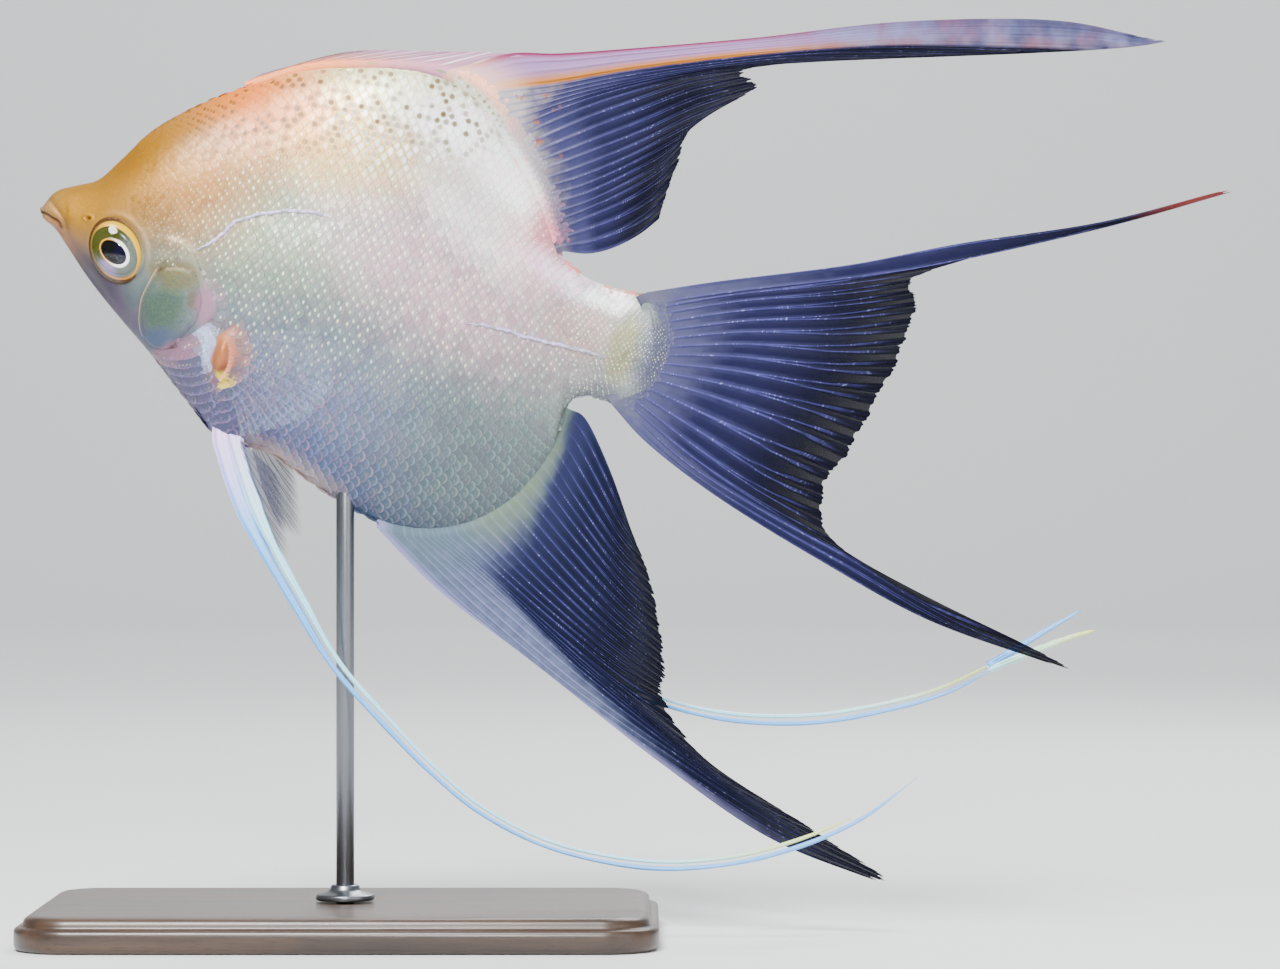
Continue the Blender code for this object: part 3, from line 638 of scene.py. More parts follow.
def evened(uv, depth):
    """The distance out from the middle plane, evened along the face so that it has no crease."""
    found = depth.copy()
    inner = hump(uv[..., 0] - 0.10, 0.11) * ease(depth, 0, -0.0022)
    for i in range(EVEN_RINGS, SKIN_RINGS // 3):
        near = [
            np.interp(uv[i, :, 1], uv[k, :, 1], depth[k]) if uv[k, 0, 1] < uv[k, -1, 1]
            else np.interp(uv[i, :, 1], uv[k, ::-1, 1], depth[k, ::-1])
            for k in range(i - EVEN_RINGS, i + EVEN_RINGS + 1)
        ]
        found[i] += inner[i] * (np.mean(near, axis=0) - depth[i])
    return found


def skin_shape():
    """The left half of the skin as grids: u and v, points, normals, and values for the finish."""
    line, half, heights = body_rings()
    bare = place(line, -half * STANDARD_LENGTH)

    def facing(points):
        normal = unit(np.cross(np.gradient(points, axis=1), np.gradient(points, axis=0)))
        if normal[len(normal) // 2, SKIN_POINTS // 2, 1] > 0:
            normal = -normal
        normal[:, [0, -1], 1] = 0
        return unit(normal)

    bare[..., 1] = evened(line, bare[..., 1])
    rise, crease = skin_relief(line, bare)
    ridge = np.minimum(1, 8 * (1 - np.abs(heights)))[None, :]
    points = bare + facing(bare) * (rise * ridge - coat_depth(line))[..., None]
    points[:, [0, -1], 1] = 0
    points[..., 1] = np.minimum(points[..., 1], 0)
    girth = np.broadcast_to(heights, crease.shape)
    shape = {"uv": line, "points": points, "normals": facing(points)}
    return shape | {"crease": crease, "girth": girth}


def lateral(uv):
    """1 on the lateral line."""
    return np.max([hump(from_line(uv, line)[0], 0.0065) for line in LATERAL_LINES], axis=0)


def make_skin(shape, finish):
    """One closed skin over the whole body, with both halves and rounded ends."""
    rings, count = shape["points"].shape[:2]
    around = 2 * count - 2

    def both(grid, mirror=False):
        far = grid[:, -2:0:-1].copy()
        if mirror:
            far[..., 1] *= -1
        return np.concatenate([grid, far], axis=1)

    points = both(shape["points"], mirror=True).reshape(-1, 3)
    sides, side_uv = tube(rings, around, rings)
    tip = len(points)
    points = np.vstack([points, points[:around].mean(axis=0) - (0.0001, 0, 0)])
    turn = np.arange(around)
    nose = np.stack([turn, (turn + 1) % around, np.full(around, tip)], axis=1)
    start = (rings - 1) * around
    rungs = start + np.arange(1, count - 2)
    across = start + (around - np.arange(count)) % around
    tail = np.stack([rungs, across[1:-2], across[2:-1], rungs + 1], axis=1)
    low = start + count - 2
    ends = [[start, across[1], start + 1], [low, across[count - 2], low + 1]]
    uv = both(shape["uv"]).reshape(-1, 2)
    uv = np.vstack([uv, uv[:1]])
    values = {key: np.append(both(shape[key]).ravel(), 0.0) for key in ("crease", "girth")}
    values |= {"body_u": uv[:, 0], "body_v": uv[:, 1], "lateral": lateral(uv)}
    values["cover"] = cover_shape(uv)[1]
    values["ridge"] = hump(from_line(uv, CHEEK_RIDGE)[0], 0.0032)

    uv = [0.01 + 0.98 * side_uv, np.full((around, 3, 2), 0.005)]
    uv += [np.full((len(tail), 4, 2), 0.995), np.full((2, 3, 2), 0.995)]
    piece = make("fish_skin", points, [sides, nose, tail, np.array(ends)], finish, values, uv)
    covers = ("gill_cover_left", "gill_cover_right")
    keep(piece, "flank_skin", "head", "lower_jaw", *covers, "trunk", "tail_base")


# ---------------------------------------------------------------- scales


def size_along(u, depth, deepest):
    """How large scales are along the body: less where it is shallow, least on the face."""
    face, tail = 0.52 + 0.48 * ease(u, 0.12, 0.38), 1 - 0.4 * ease(u, 0.93, 1.03)
    return (depth / deepest) ** 0.35 * face * tail


class ScaleRows:
    """A staggered lattice of scales that runs along the body and narrows with it."""

    def __init__(self, shape):
        self.shape = shape
        points, uv = shape["points"], shape["uv"]
        arc = total(np.linalg.norm(np.diff(points, axis=1), axis=2))
        v = uv[..., 1]
        axis = np.array([np.interp(0, -row, np.arange(len(row))) for row in v])
        rings = np.arange(len(points), dtype=float)
        self.girth = arc - sample(arc, rings, axis)[:, None]
        self.along = sample(uv[..., 0], rings, axis)
        depth = arc[:, -1] / 2
        self.size = size_along(self.along, depth, depth.max())
        growth = np.diff(self.along) * STANDARD_LENGTH / ((self.size[1:] + self.size[:-1]) / 2)
        self.run = total(growth)

    def spot(self, column, row):
        """Ring and height numbers of a place in the lattice, with the size of scales there."""
        i = float(np.interp(column * SCALE_PITCH, self.run, np.arange(len(self.run))))
        a = min(int(i), len(self.run) - 2)
        share = i - a
        size = self.size[a] * (1 - share) + self.size[a + 1] * share
        girth = self.girth[a] * (1 - share) + self.girth[a + 1] * share
        wanted = row * SCALE_ROW * size
        if not girth[0] + 0.15 * SCALE_ROW < wanted < girth[-1] - 0.15 * SCALE_ROW:
            return None
        return i, float(np.interp(wanted, girth, np.arange(len(girth)))), size

    def all(self):
        """Places, sizes and row directions of every scale, as arrays."""
        found = []
        last = int(self.run[-1] / SCALE_PITCH)
        rows = int(1.6 * np.abs(self.girth).max() / SCALE_ROW)
        for row in range(-rows, rows + 1):
            for column in np.arange(8 + (row % 2) / 2, last, 1.0):
                here, ahead = self.spot(column, row), self.spot(column + 0.3, row)
                if here and ahead:
                    found.append((*here, *ahead[:2]))
        return np.array(found)


def scaled(uv, points):
    """Where scales grow: not on the snout, lips, eye, gill folds or the pectoral fin's lobe."""
    u, v = uv[:, 0], uv[:, 1]
    face = ease(u + 0.20 * np.abs(v - 0.02), 0.145, 0.165) * ((v > -0.045) | (u > 0.215))
    eye = eye_gap(points)
    depth, _ = cover_shape(uv)
    fold, edge, _ = gill_fold(uv)
    ridge, _, _ = from_line(uv, CHEEK_RIDGE)
    lobe = from_oval(uv, FIN_LOBE)
    soft = (fold > 0.5) & ((v < -0.045) | (u - 0.6 * v > 0.262)) | (depth > -0.006)
    return (face > 0.5) & (eye > 1.40) & ~soft & (ridge > 0.010) & (lobe > 0.84) & (edge > 0.003)


def scale_template():
    """One scale in its own length and half breadth: points, distance from its heart, and faces."""
    turns = spokes(SCALE_SPOKES)
    rings = [np.stack([r * np.cos(turns), r * np.sin(turns)], axis=1) for r in SCALE_RADII]
    flat = np.vstack([[[0, 0]], *rings, [[0, 0]]])
    heart = np.concatenate([[0], np.repeat(SCALE_RADII, SCALE_SPOKES), [0]])
    after = (np.arange(SCALE_SPOKES) + 1) % SCALE_SPOKES
    spoke = np.arange(SCALE_SPOKES)
    centre = np.stack([np.zeros(SCALE_SPOKES, int), 1 + spoke, 1 + after], axis=1)
    walls = []
    for ring in range(len(SCALE_RADII) - 1):
        inner, outer = 1 + ring * SCALE_SPOKES, 1 + (ring + 1) * SCALE_SPOKES
        walls.append(np.stack([inner + spoke, outer + spoke, outer + after, inner + after], axis=1))
    rim = 1 + (len(SCALE_RADII) - 1) * SCALE_SPOKES
    under = np.stack([np.full(SCALE_SPOKES, len(flat) - 1), rim + after, rim + spoke], axis=1)
    return flat, heart, np.vstack(walls), centre, under


def settled(shape, i, j, flip, offset, rise, flat):
    """Scales bent along the skin, from offsets in its tangent plane and heights over it."""
    skin, normals = shape["points"], shape["normals"]
    along = (sample(skin, i + 0.5, j) - sample(skin, i - 0.5, j))[:, None]
    across = (sample(skin, i, j + 0.5) - sample(skin, i, j - 0.5))[:, None]
    aa, ab, bb = (along**2).sum(axis=2), (along * across).sum(axis=2), (across**2).sum(axis=2)
    by_a, by_b = (offset * flip * along).sum(axis=2), (offset * flip * across).sum(axis=2)
    area = aa * bb - ab**2
    to_i = (i[:, None] + (bb * by_a - ab * by_b) / area).ravel()
    to_j = (j[:, None] + (aa * by_b - ab * by_a) / area).ravel()
    last_i, last_j = skin.shape[0] - 2, skin.shape[1] - 3
    inside = (to_i > 1) & (to_i < last_i) & (to_j > 2) & (to_j < last_j)
    to_i, to_j = np.clip(to_i, 1, last_i), np.clip(to_j, 2, last_j)
    bent = sample(skin, to_i, to_j) + rise.reshape(-1, 1) * unit(sample(normals, to_i, to_j))
    return np.where(inside.reshape(*flat.shape[:2], 1), bent.reshape(flat.shape) * flip, flat)


def lay_scales(name, at, along, out, size, uv, values, flat_uv, finish, bed=None):
    """A joined mesh of scales at these places, leaning along their rows."""
    flat, heart, walls, centre, under = scale_template()
    count, corners = len(at), len(flat)
    rng = np.random.default_rng(len(name) + count)
    turn = rng.normal(0, 0.05, count)
    lift = SCALE_LIFT * (1 + rng.normal(0, 0.15, count))
    grown = size * (1 + rng.normal(0, 0.03, count))
    out = unit(out)
    along = unit(along - out * (along * out).sum(axis=1)[:, None])
    across = np.cross(out, along)
    way = along * np.cos(turn)[:, None] + across * np.sin(turn)[:, None]
    side = np.cross(out, way)
    x = flat[:, 0] * SCALE_LENGTH
    y = flat[:, 1] * SCALE_BREADTH
    z = SCALE_SLOPE * x + SCALE_DOME * (1 - heart**2)
    z[-1] = -0.0001
    lean = grown[:, None, None]
    offset = lean * (x[None, :, None] * way[:, None, :] + y[None, :, None] * side[:, None, :])
    rise = lean * (z[None, :] + lift[:, None])[..., None]
    points = at[:, None, :] + offset + rise * out[:, None, :]
    if bed is not None:
        points = settled(*bed, offset, rise, points)
    shift = (np.arange(count) * corners)[:, None, None]
    faces = [(group[None] + shift).reshape(-1, group.shape[1]) for group in (walls, centre, under)]
    values |= {"body_u": uv[:, 0], "body_v": uv[:, 1]}
    values |= {"chance": rng.random(count), "hue": rng.random(count)}
    values = {key: np.repeat(value, corners) for key, value in values.items()}
    values |= {"rear": np.tile(flat[:, 0], count), "aside": np.tile(flat[:, 1], count)}
    patch = (flat_uv[:, None, :] + PATCH * flat[None]).reshape(-1, 2)
    keep(make(name, points, faces, finish, values, patch, flat=2), "flank_skin")


def make_scales(shape, finish):
    """The coat: overlapping scales on both sides, in a front and a rear piece each."""
    rows = ScaleRows(shape)
    i, j, size, i_ahead, j_ahead = rows.all().T
    at = sample(shape["points"], i, j)
    ahead = sample(shape["points"], i_ahead, j_ahead)
    out = sample(shape["normals"], i, j)
    uv = sample(shape["uv"], i, j)
    girth = sample(rows.girth, i, j)
    seen = scaled(uv, at)
    deepest = np.abs(rows.girth).max()
    flat_uv = np.stack([i / len(rows.run), 0.5 + 0.48 * girth / deepest], axis=1)
    values = {"girth": sample(shape["girth"], i, j), "fade": 0 * i}
    middle = np.median(uv[seen, 0])
    for side, word in ((1, "left"), (-1, "right")):
        flip = np.array([1, side, 1])
        for part, end in ((uv[:, 0] < middle, "front"), (uv[:, 0] >= middle, "rear")):
            pick = seen & part
            lay_scales(
                f"scales_{word}_{end}", at[pick] * flip, (ahead - at)[pick] * flip,
                out[pick] * flip, size[pick], uv[pick],
                {key: value[pick] for key, value in values.items()}, flat_uv[pick], finish,
                (shape, i[pick], j[pick], flip),
            )


def locate(grid, wanted):
    """Fractional ring and height numbers at which a grid of u and v takes the wanted values."""
    flat = grid.reshape(-1, 2)
    nearest = ((wanted[:, None] - flat[None]) ** 2).sum(axis=2).argmin(axis=1)
    spot = np.stack(np.divmod(nearest, grid.shape[1]), axis=1).astype(float)
    top = np.array(grid.shape[:2]) - 1.01
    for _ in range(8):
        i, j = spot.T
        here = sample(grid, i, j)
        gap, along = wanted - here, sample(grid, i + 0.3, j) - here
        across = sample(grid, i, j + 0.3) - here
        area = along[:, 0] * across[:, 1] - along[:, 1] * across[:, 0]
        step_i = (gap[:, 0] * across[:, 1] - gap[:, 1] * across[:, 0]) / area
        step_j = (along[:, 0] * gap[:, 1] - along[:, 1] * gap[:, 0]) / area
        spot = np.clip(spot + 0.3 * np.stack([step_i, step_j], axis=1), 0, top)
    return spot.T


def make_lateral_lines(shape):
    """The lateral line: a row of short raised tubes, in two lengths on each side."""
    finish = Finish("lateral line", roughness=0.3, coat_weight=0.3, coat_roughness=0.2)
    finish.paint(finish.mix(finish.noise(1500), (176, 178, 202), (222, 220, 238)))
    finish.lay(finish.noise(800).ease(0.48, 0.60) * 0.7, (182, 188, 186))
    finish.bump(finish.noise(5000), 0.00003, 0.4)
    around = spokes(LINE_SIDES)
    for k, line in enumerate(LATERAL_LINES):
        path = even(line, 260)
        i, j = locate(shape["uv"], path)
        at, out = sample(shape["points"], i, j), unit(sample(shape["normals"], i, j))
        way = unit(np.gradient(at, axis=0))
        across = np.cross(way, out)
        run = total(np.linalg.norm(np.diff(at, axis=0), axis=1))
        pulse = np.abs(np.sin(math.pi * run / PORE_PITCH)) ** 0.5
        taper = ease(run, 0, 0.003) * ease(run[-1] - run, 0, 0.003)
        wide = (0.00016 + 0.00013 * pulse) * (0.3 + 0.7 * taper)
        high = (0.00006 + 0.00008 * pulse) * (0.3 + 0.7 * taper)
        wobble = 0.00006 * np.sin(run / 0.00061) + 0.00004 * np.sin(run / 0.00023)
        over = 0.00014 + 0.00003 * np.sin(run / 0.00047)
        centre = at + out * over[:, None] + across * wobble[:, None]
        sideways, upward = wide[:, None] * np.cos(around), high[:, None] * np.sin(around)
        ring = centre[:, None] + sideways[..., None] * across[:, None]
        ring = ring + upward[..., None] * out[:, None]
        for side, word in ((1, "left"), (-1, "right")):
            rounds(f"lateral_line_{word}_{k + 1}", ring * (1, side, 1), {}, finish, "flank_skin")


# ---------------------------------------------------------------- finishes


class Socket:
    """A number, colour or vector that a finish works out, for use in expressions."""

    def __init__(self, finish, output):
        self.finish = finish
        self.output = output

    def __add__(self, other):
        return self.finish.math("ADD", self, other)

    def __sub__(self, other):
        return self.finish.math("SUBTRACT", self, other)

    def __rsub__(self, other):
        return self.finish.math("SUBTRACT", other, self)

    def __mul__(self, other):
        return self.finish.math("MULTIPLY", self, other)

    __radd__ = __add__
    __rmul__ = __mul__

    def ease(self, low, high):
        """0 to 1 as this goes from low to high, with soft ends."""
        settings = {"interpolation_type": "SMOOTHSTEP"}
        return self.finish.node("MapRange", settings, {0: self, 1: low, 2: high})


def tone(red, green, blue):
    """A surface colour that shows about like these 8-bit values in the studio's light."""
    shown = np.clip(np.array([red, green, blue]) / 255, 0.01, 0.94)
    light = np.log(0.212 * (shown / (1 - shown)) ** 1.277)
    light = np.exp(light @ np.array(FILM) + FILM_SHIFT)
    return tuple(float(part) for part in np.clip(light / STUDIO_LIGHT, 0.002, 0.9))


class Finish:
    """A material whose colour, roughness and relief are worked out from short expressions."""

    def __init__(self, name, **fixed):
        self.material = bpy.data.materials.new(name)
        self.material.use_nodes = True
        self.tree = self.material.node_tree
        self.shader = self.tree.nodes["Principled BSDF"]
        for key, value in fixed.items():
            self.set(key.replace("_", " ").title().replace("Ior", "IOR"), value)

    def set(self, key, value):
        self.feed(self.shader.inputs[key], value)

    def feed(self, socket, value):
        """Links or sets an input. A colour with a part over 1 is in 8 bits, as it is to show."""
        if isinstance(value, Socket):
            self.tree.links.new(value.output, socket)
        elif isinstance(value, tuple) and socket.type == "RGBA":
            socket.default_value = (*(tone(*value) if max(value) > 1 else value), 1)
        else:
            socket.default_value = value

    def node(self, kind, settings, values=(), out=0):
        made = self.tree.nodes.new("ShaderNode" + kind)
        for key, value in settings.items():
            setattr(made, key, value)
        for key, value in values.items() if isinstance(values, dict) else enumerate(values):
            self.feed(made.inputs[key], value)
        return Socket(self, made.outputs[out])

    def math(self, operation, *values):
        return self.node("Math", {"operation": operation}, values)

    def read(self, attribute):
        return self.node("Attribute", {"attribute_name": attribute}, out=2)

    def mix(self, share, first, second, blend="MIX"):
        settings = {"data_type": "RGBA", "blend_type": blend}
        return self.node("Mix", settings, {0: share, 6: first, 7: second}, out=2)

    def times(self, share, first, second):
        return self.mix(share, first, second, "MULTIPLY")

    def pair(self, first, second):
        return self.node("CombineXYZ", {}, [first, second])

    def where(self):
        return self.pair(self.read("body_u"), self.read("body_v"))

    def vector(self, operation, *values, out=0):
        return self.node("VectorMath", {"operation": operation}, values, out)

    def warped(self, place, amount, scale):
        """A place moved a little by noise, so that markings have natural edges."""
        noise = self.node("TexNoise", {}, {"Vector": place, "Scale": scale, "Detail": 2.0}, out=1)
        off = self.vector("SUBTRACT", noise, (0.5, 0.5, 0.5))
        move = self.node("VectorMath", {"operation": "SCALE"}, {0: off, "Scale": 2 * amount})
        return self.vector("ADD", place, move)

    def patch(self, place, centre, reach, tilt=0.0, soft=0.35):
        """1 in the middle of a tilted oval on the body, falling to 0 at its edge."""
        values = [place, (*centre, 0.0), (0.0, 0.0, math.radians(tilt)), (*reach, 1.0)]
        local = self.node("Mapping", {"vector_type": "TEXTURE"}, values)
        return self.vector("LENGTH", local, out=1).ease(1.0, soft)

    def noise(self, scale, detail=2.0, rough=0.5):
        """Noise over the object, of this many grains a metre."""
        spot = self.node("TexCoord", {}, out=3)
        values = {"Vector": spot, "Scale": scale, "Detail": detail, "Roughness": rough}
        return self.node("TexNoise", {}, values)

    def paint(self, colour):
        """Sets the base colour, which lay and wash then build on."""
        self.colour = colour
        self.set("Base Color", colour)

    def lay(self, share, colour):
        """Lays a share of a colour over the base colour."""
        self.paint(self.mix(share, self.colour, colour))

    def wash(self, share, tint):
        """Multiplies a share of a tint into the base colour."""
        self.paint(self.times(share, self.colour, tint))

    def bump(self, height, distance, strength):
        values = {"Strength": strength, "Distance": distance, "Height": height}
        self.set("Normal", self.node("Bump", {}, values))

    def drawn(self, stretch, turn, detail, rough=0.5):
        """Noise with its own number of grains a metre along each axis, turned about the upright."""
        spot = self.node("TexCoord", {}, out=3)
        values = [spot, (0.0, 0.0, 0.0), (0.0, 0.0, turn), stretch]
        place = self.node("Mapping", {"vector_type": "POINT"}, values)
        values = {"Vector": place, "Scale": 1.0, "Detail": detail, "Roughness": rough}
        return self.node("TexNoise", {}, values)


def body_colour(finish):
    """The fish's markings and the painted highlight along the upper back: one blend of soft zones,
    the same on the skin and the scales.
    """
    place = finish.warped(finish.where(), 0.016, 14.0)
    finish.paint(finish.mix(finish.noise(260).ease(0.3, 0.7), (170, 177, 176), (186, 190, 188)))
    for shade, centre, reach, tilt, share in MARKINGS_AND_HIGHLIGHTS:
        stretch, soft = (1.2, 0.08) if reach[0] > WIDE_MARKING else (1.0, 0.35)
        zone = finish.patch(place, centre, (stretch * reach[0], stretch * reach[1]), tilt, soft)
        finish.lay(zone * share, shade)
    girth, u = finish.read("girth"), finish.read("body_u")
    # Pinkish-cream belly ridge: its own colour, painted lighter to stand in for light on its shaded
    # underside
    belly = girth.ease(0.90, 0.99) * u.ease(0.38, 0.42) * u.ease(0.62, 0.52)
    finish.lay(belly * 0.35, (238, 220, 212))
    back = girth.ease(-0.92, -0.985) * u.ease(0.62, 0.76)
    finish.lay(back * 0.8, (226, 146, 84))


def skin_finish():
    finish = Finish(
        "fish skin", metallic=0.30, coat_weight=0.06, coat_roughness=0.25, specular_ior_level=0.22,
    )
    body_colour(finish)
    mottle = finish.noise(1900, 3.0, 0.6)
    grain = finish.noise(6200, 2.0, 0.6)
    finish.wash(0.50, finish.mix(mottle, (0.70, 0.64, 0.60), UNTINTED))
    finish.lay(grain.ease(0.60, 0.75) * 0.10, (240, 204, 130))
    cover = finish.read("cover") * finish.read("body_v").ease(-0.17, -0.12)
    patchy = finish.noise(2300, 2.0, 0.7).ease(0.38, 0.62)
    green = finish.mix(patchy, (92, 126, 134), (150, 160, 124))
    finish.lay(cover * mottle.ease(0.40, 0.62) * 0.50, green)
    finish.lay(cover * grain.ease(0.68, 0.78) * 0.4, (196, 210, 160))
    # Painted shade: dark brown in the creases of the mouth, lips, jaw, nostril, eye rim, cheek
    # ridge and gill cover
    finish.lay(finish.read("crease").ease(0.15, 0.95) * 0.72, (104, 62, 44))
    finish.lay(finish.read("lateral").ease(0.2, 0.8) * 0.6, (220, 218, 232))
    finish.lay(finish.read("ridge").ease(0.72, 0.98) * 0.65, (224, 204, 180))
    finish.set("Roughness", 0.34 + 0.22 * mottle)
    finish.bump(grain + 0.5 * mottle, 0.00008, 0.5)
    return finish


def scale_finish():
    finish = Finish("fish scales", coat_weight=0.08, coat_roughness=0.20, specular_ior_level=0.25)
    rear, aside = finish.read("rear"), finish.read("aside")
    spot = finish.pair(rear, aside)
    heart = finish.vector("LENGTH", spot, out=1)
    chance, hue = finish.read("chance"), finish.read("hue")
    u, v, fade = finish.read("body_u"), finish.read("body_v"), finish.read("fade")
    body_colour(finish)
    pearl = (u - 0.45 * v).ease(0.10, 0.30)
    belly = (v - 0.10 * u).ease(-0.12, -0.27)
    tint = finish.mix(hue.ease(0.25, 0.75), (1.0, 0.88, 0.94), (0.88, 1.0, 0.94))
    finish.wash(0.15 + 0.50 * pearl, tint)
    finish.wash(0.30 * (1.0 - chance) * (0.3 + 0.7 * pearl), (0.62, 0.60, 0.60))
    # Pale rims at the scales' rear edges: the belly's own pale crescents, and on the flank a faint
    # painted light over the shadow lines between scales
    rim = heart.ease(0.58, 0.92) * rear.ease(0.15, 0.85)
    rim = rim * (0.04 + (0.08 + 0.22 * hue) * belly) * pearl
    edge = finish.mix(chance, (196, 206, 230), (222, 204, 212))
    edge = finish.mix(u.ease(0.50, 0.75) * 0.75, edge, (194, 206, 200))
    finish.lay(rim, edge)
    # Painted highlight: white dots at the scales' hearts, partly the pearly scales' own spots
    moved = finish.pair(rear + 0.30 * (chance - 0.5), aside + 0.60 * (hue - 0.5))
    shine = finish.patch(moved, (0.50, 0.0), (0.15, 0.36))
    shine = shine * (0.25 + 0.75 * finish.noise(650).ease(0.34, 0.62))
    shine = shine * (hue + chance).ease(0.2, 1.0)
    shade = finish.mix(chance, (250, 250, 250), (238, 246, 214))
    gold = finish.patch(finish.where(), (0.26, 0.25), (0.24, 0.15), 30)
    finish.lay(shine * pearl * (1.0 - 0.92 * belly) * (1.0 - 0.6 * gold) * 0.70, shade)
    # More white dots on the upper flank, likewise partly painted highlight
    specks_and_glints = finish.patch(finish.where(), (0.52, 0.275), (0.15, 0.12))
    specks_and_glints = specks_and_glints * finish.noise(420).ease(0.34, 0.52)
    finish.lay(specks_and_glints * finish.patch(spot, (0.50, 0.0), (0.40, 0.70)) * 0.85, (252, 252, 252))
    zone = (v - 0.25 * u).ease(0.00, 0.14) * u.ease(0.14, 0.22) * u.ease(0.82, 0.62)
    fleck = zone * chance.ease(0.50, 0.55) * finish.patch(spot, (0.50, 0.0), (0.46, 0.62))
    brown = finish.mix(u.ease(0.40, 0.56), (172, 78, 0), (156, 88, 4))
    finish.lay(fleck * finish.noise(170).ease(0.32, 0.46) * (0.66 + 0.34 * hue), brown)
    sheath = finish.mix(u.ease(0.64, 0.76), (228, 204, 190), (188, 182, 188))
    sheath = finish.mix(u.ease(0.74, 0.84), sheath, (84, 96, 140))
    sheath = finish.mix(u.ease(0.90, 0.98), sheath, (112, 120, 152))
    finish.lay(fade.ease(0.02, 0.50) * 0.85, sheath)
    finish.set("Roughness", 0.24 + 0.20 * chance)
    bright = finish.patch(finish.where(), (0.66, 0.27), (0.26, 0.11), -28)
    finish.set("Metallic", 0.30 * (1.0 - bright) * (1.0 - 0.8 * gold))
    finish.bump(finish.noise(9000, 2.0, 0.6), 0.00003, 0.4)
    return finish


# ---------------------------------------------------------------- fins


def fin_grid(edge, rays, numbers, rows):
    """u and v over a fin, a number of columns to each ray, and each column's ray number."""
    starts = edge([ray[0] for ray in rays])
    lines = [even([start, *ray[1:]], rows) for start, ray in zip(starts, rays)]
    table = np.concatenate([[[ray[0]] for ray in rays], np.reshape(lines, (len(rays), -1))], axis=1)
    order = np.linspace(0, numbers[-1], numbers[-1] * RAY_COLUMNS + 1)
    found = smooth(table, np.interp(order, numbers, np.arange(len(rays))))
    grid = found[:, 1:].reshape(len(order), rows, 2)
    settle = (1 - np.linspace(0, 1, rows)) ** 2
    grid = grid + (edge(found[:, 0]) - grid[:, 0])[:, None] * settle[None, :, None]
    edgewise = unit(np.gradient(grid[:, 0], axis=0))
    inward = np.stack([edgewise[:, 1], -edgewise[:, 0]], axis=1)
    inward *= -np.sign((inward * (grid[:, 2] - grid[:, 0])).sum(axis=1))[:, None]
    grid[:, 0] += ROOT_DEPTH * inward
    return grid, order


def ray_relief(order, rows, fork=0.20):
    """1 along each ray, which forks twice towards the rim, and 0 on the membrane between."""
    along = np.linspace(0, 1, rows)[None, :]
    phase = (np.asarray(order) + 0.5) % 1 - 0.5
    phase = phase[:, None]
    spread = fork * ease(along, 0.30, 0.90)
    finer = 0.45 * fork * ease(along, 0.68, 1.0)
    width = 0.15 - 0.08 * ease(along, 0.1, 0.8)
    tops = [hump(phase - a * spread - b * finer, width) for a in (-1, 1) for b in (-1, 1)]
    return np.max(tops, axis=0)


def ragged(grid, order, relief, depth, seed):
    """A fin whose rim is frayed: each branch of each ray ends at its own length."""
    rng = np.random.default_rng(seed)
    spots = np.linspace(-1, order[-1] + 1, 4 * int(order[-1] + 2) + 1)
    cut = np.interp(order, spots, rng.random(len(spots)))
    reach = 1 - depth * cut - 0.8 * depth * (1 - relief[:, -1])
    share = np.linspace(0, 1, grid.shape[1])
    found = np.empty(grid.shape)
    for column, far, new in zip(grid, reach, found):
        for axis in (0, 1):
            new[:, axis] = np.interp(share * (1 - (1 - far) * share**3), share, column[:, axis])
    return found


def small_fin(rays, step, columns, rows, seed):
    """u and v over a little rayed fin, with its rays' relief and how far along each row is."""
    lines = [even(ray, rows) for ray in rays]
    order = np.linspace(0, step * (len(rays) - 1), columns)
    grid = smooth(np.reshape(lines, (len(rays), -1)), order / step).reshape(columns, rows, 2)
    relief = ray_relief(order, rows)
    return ragged(grid, order, relief, 0.03, seed), relief, np.linspace(0, 1, rows)[None, :]


def plate(name, grid, y, half, values, finish, slot, *nodes):
    """A closed thin fin over a grid of u and v, around the distance y from the middle plane."""
    columns, rows = grid.shape[:2]
    side = columns * rows
    points = np.concatenate([place(grid, y - half), place(grid, y + half)])
    number = np.arange(side).reshape(columns, rows)
    near = number[:-1, :-1], number[1:, :-1], number[1:, 1:], number[:-1, 1:]
    near = np.stack(near, axis=-1).reshape(-1, 4)
    rim = [number[0, :-1], number[:-1, -1], number[-1, :0:-1], number[:0:-1, 0]]
    rim = np.concatenate(rim)
    after = np.roll(rim, -1)
    walls = np.stack([rim, after, after + side, rim + side], axis=1)
    spread = np.linspace(0.01, 0.48, columns), np.linspace(0.01, 0.99, rows)
    spot = np.stack(np.meshgrid(*spread, indexing="ij"), axis=-1).reshape(-1, 2)
    uv = [spot[near], (spot + (0.5, 0))[near[:, ::-1]], spot[walls % side]]
    values = {key: np.broadcast_to(value, (columns, rows)).ravel() for key, value in values.items()}
    values |= {"body_u": grid[..., 0].ravel(), "body_v": grid[..., 1].ravel()}
    values = {key: np.tile(value, 2) for key, value in values.items()}
    faces = [near, near[:, ::-1] + side, walls]
    keep(make(name, points, faces, finish, values, uv), slot, *nodes)


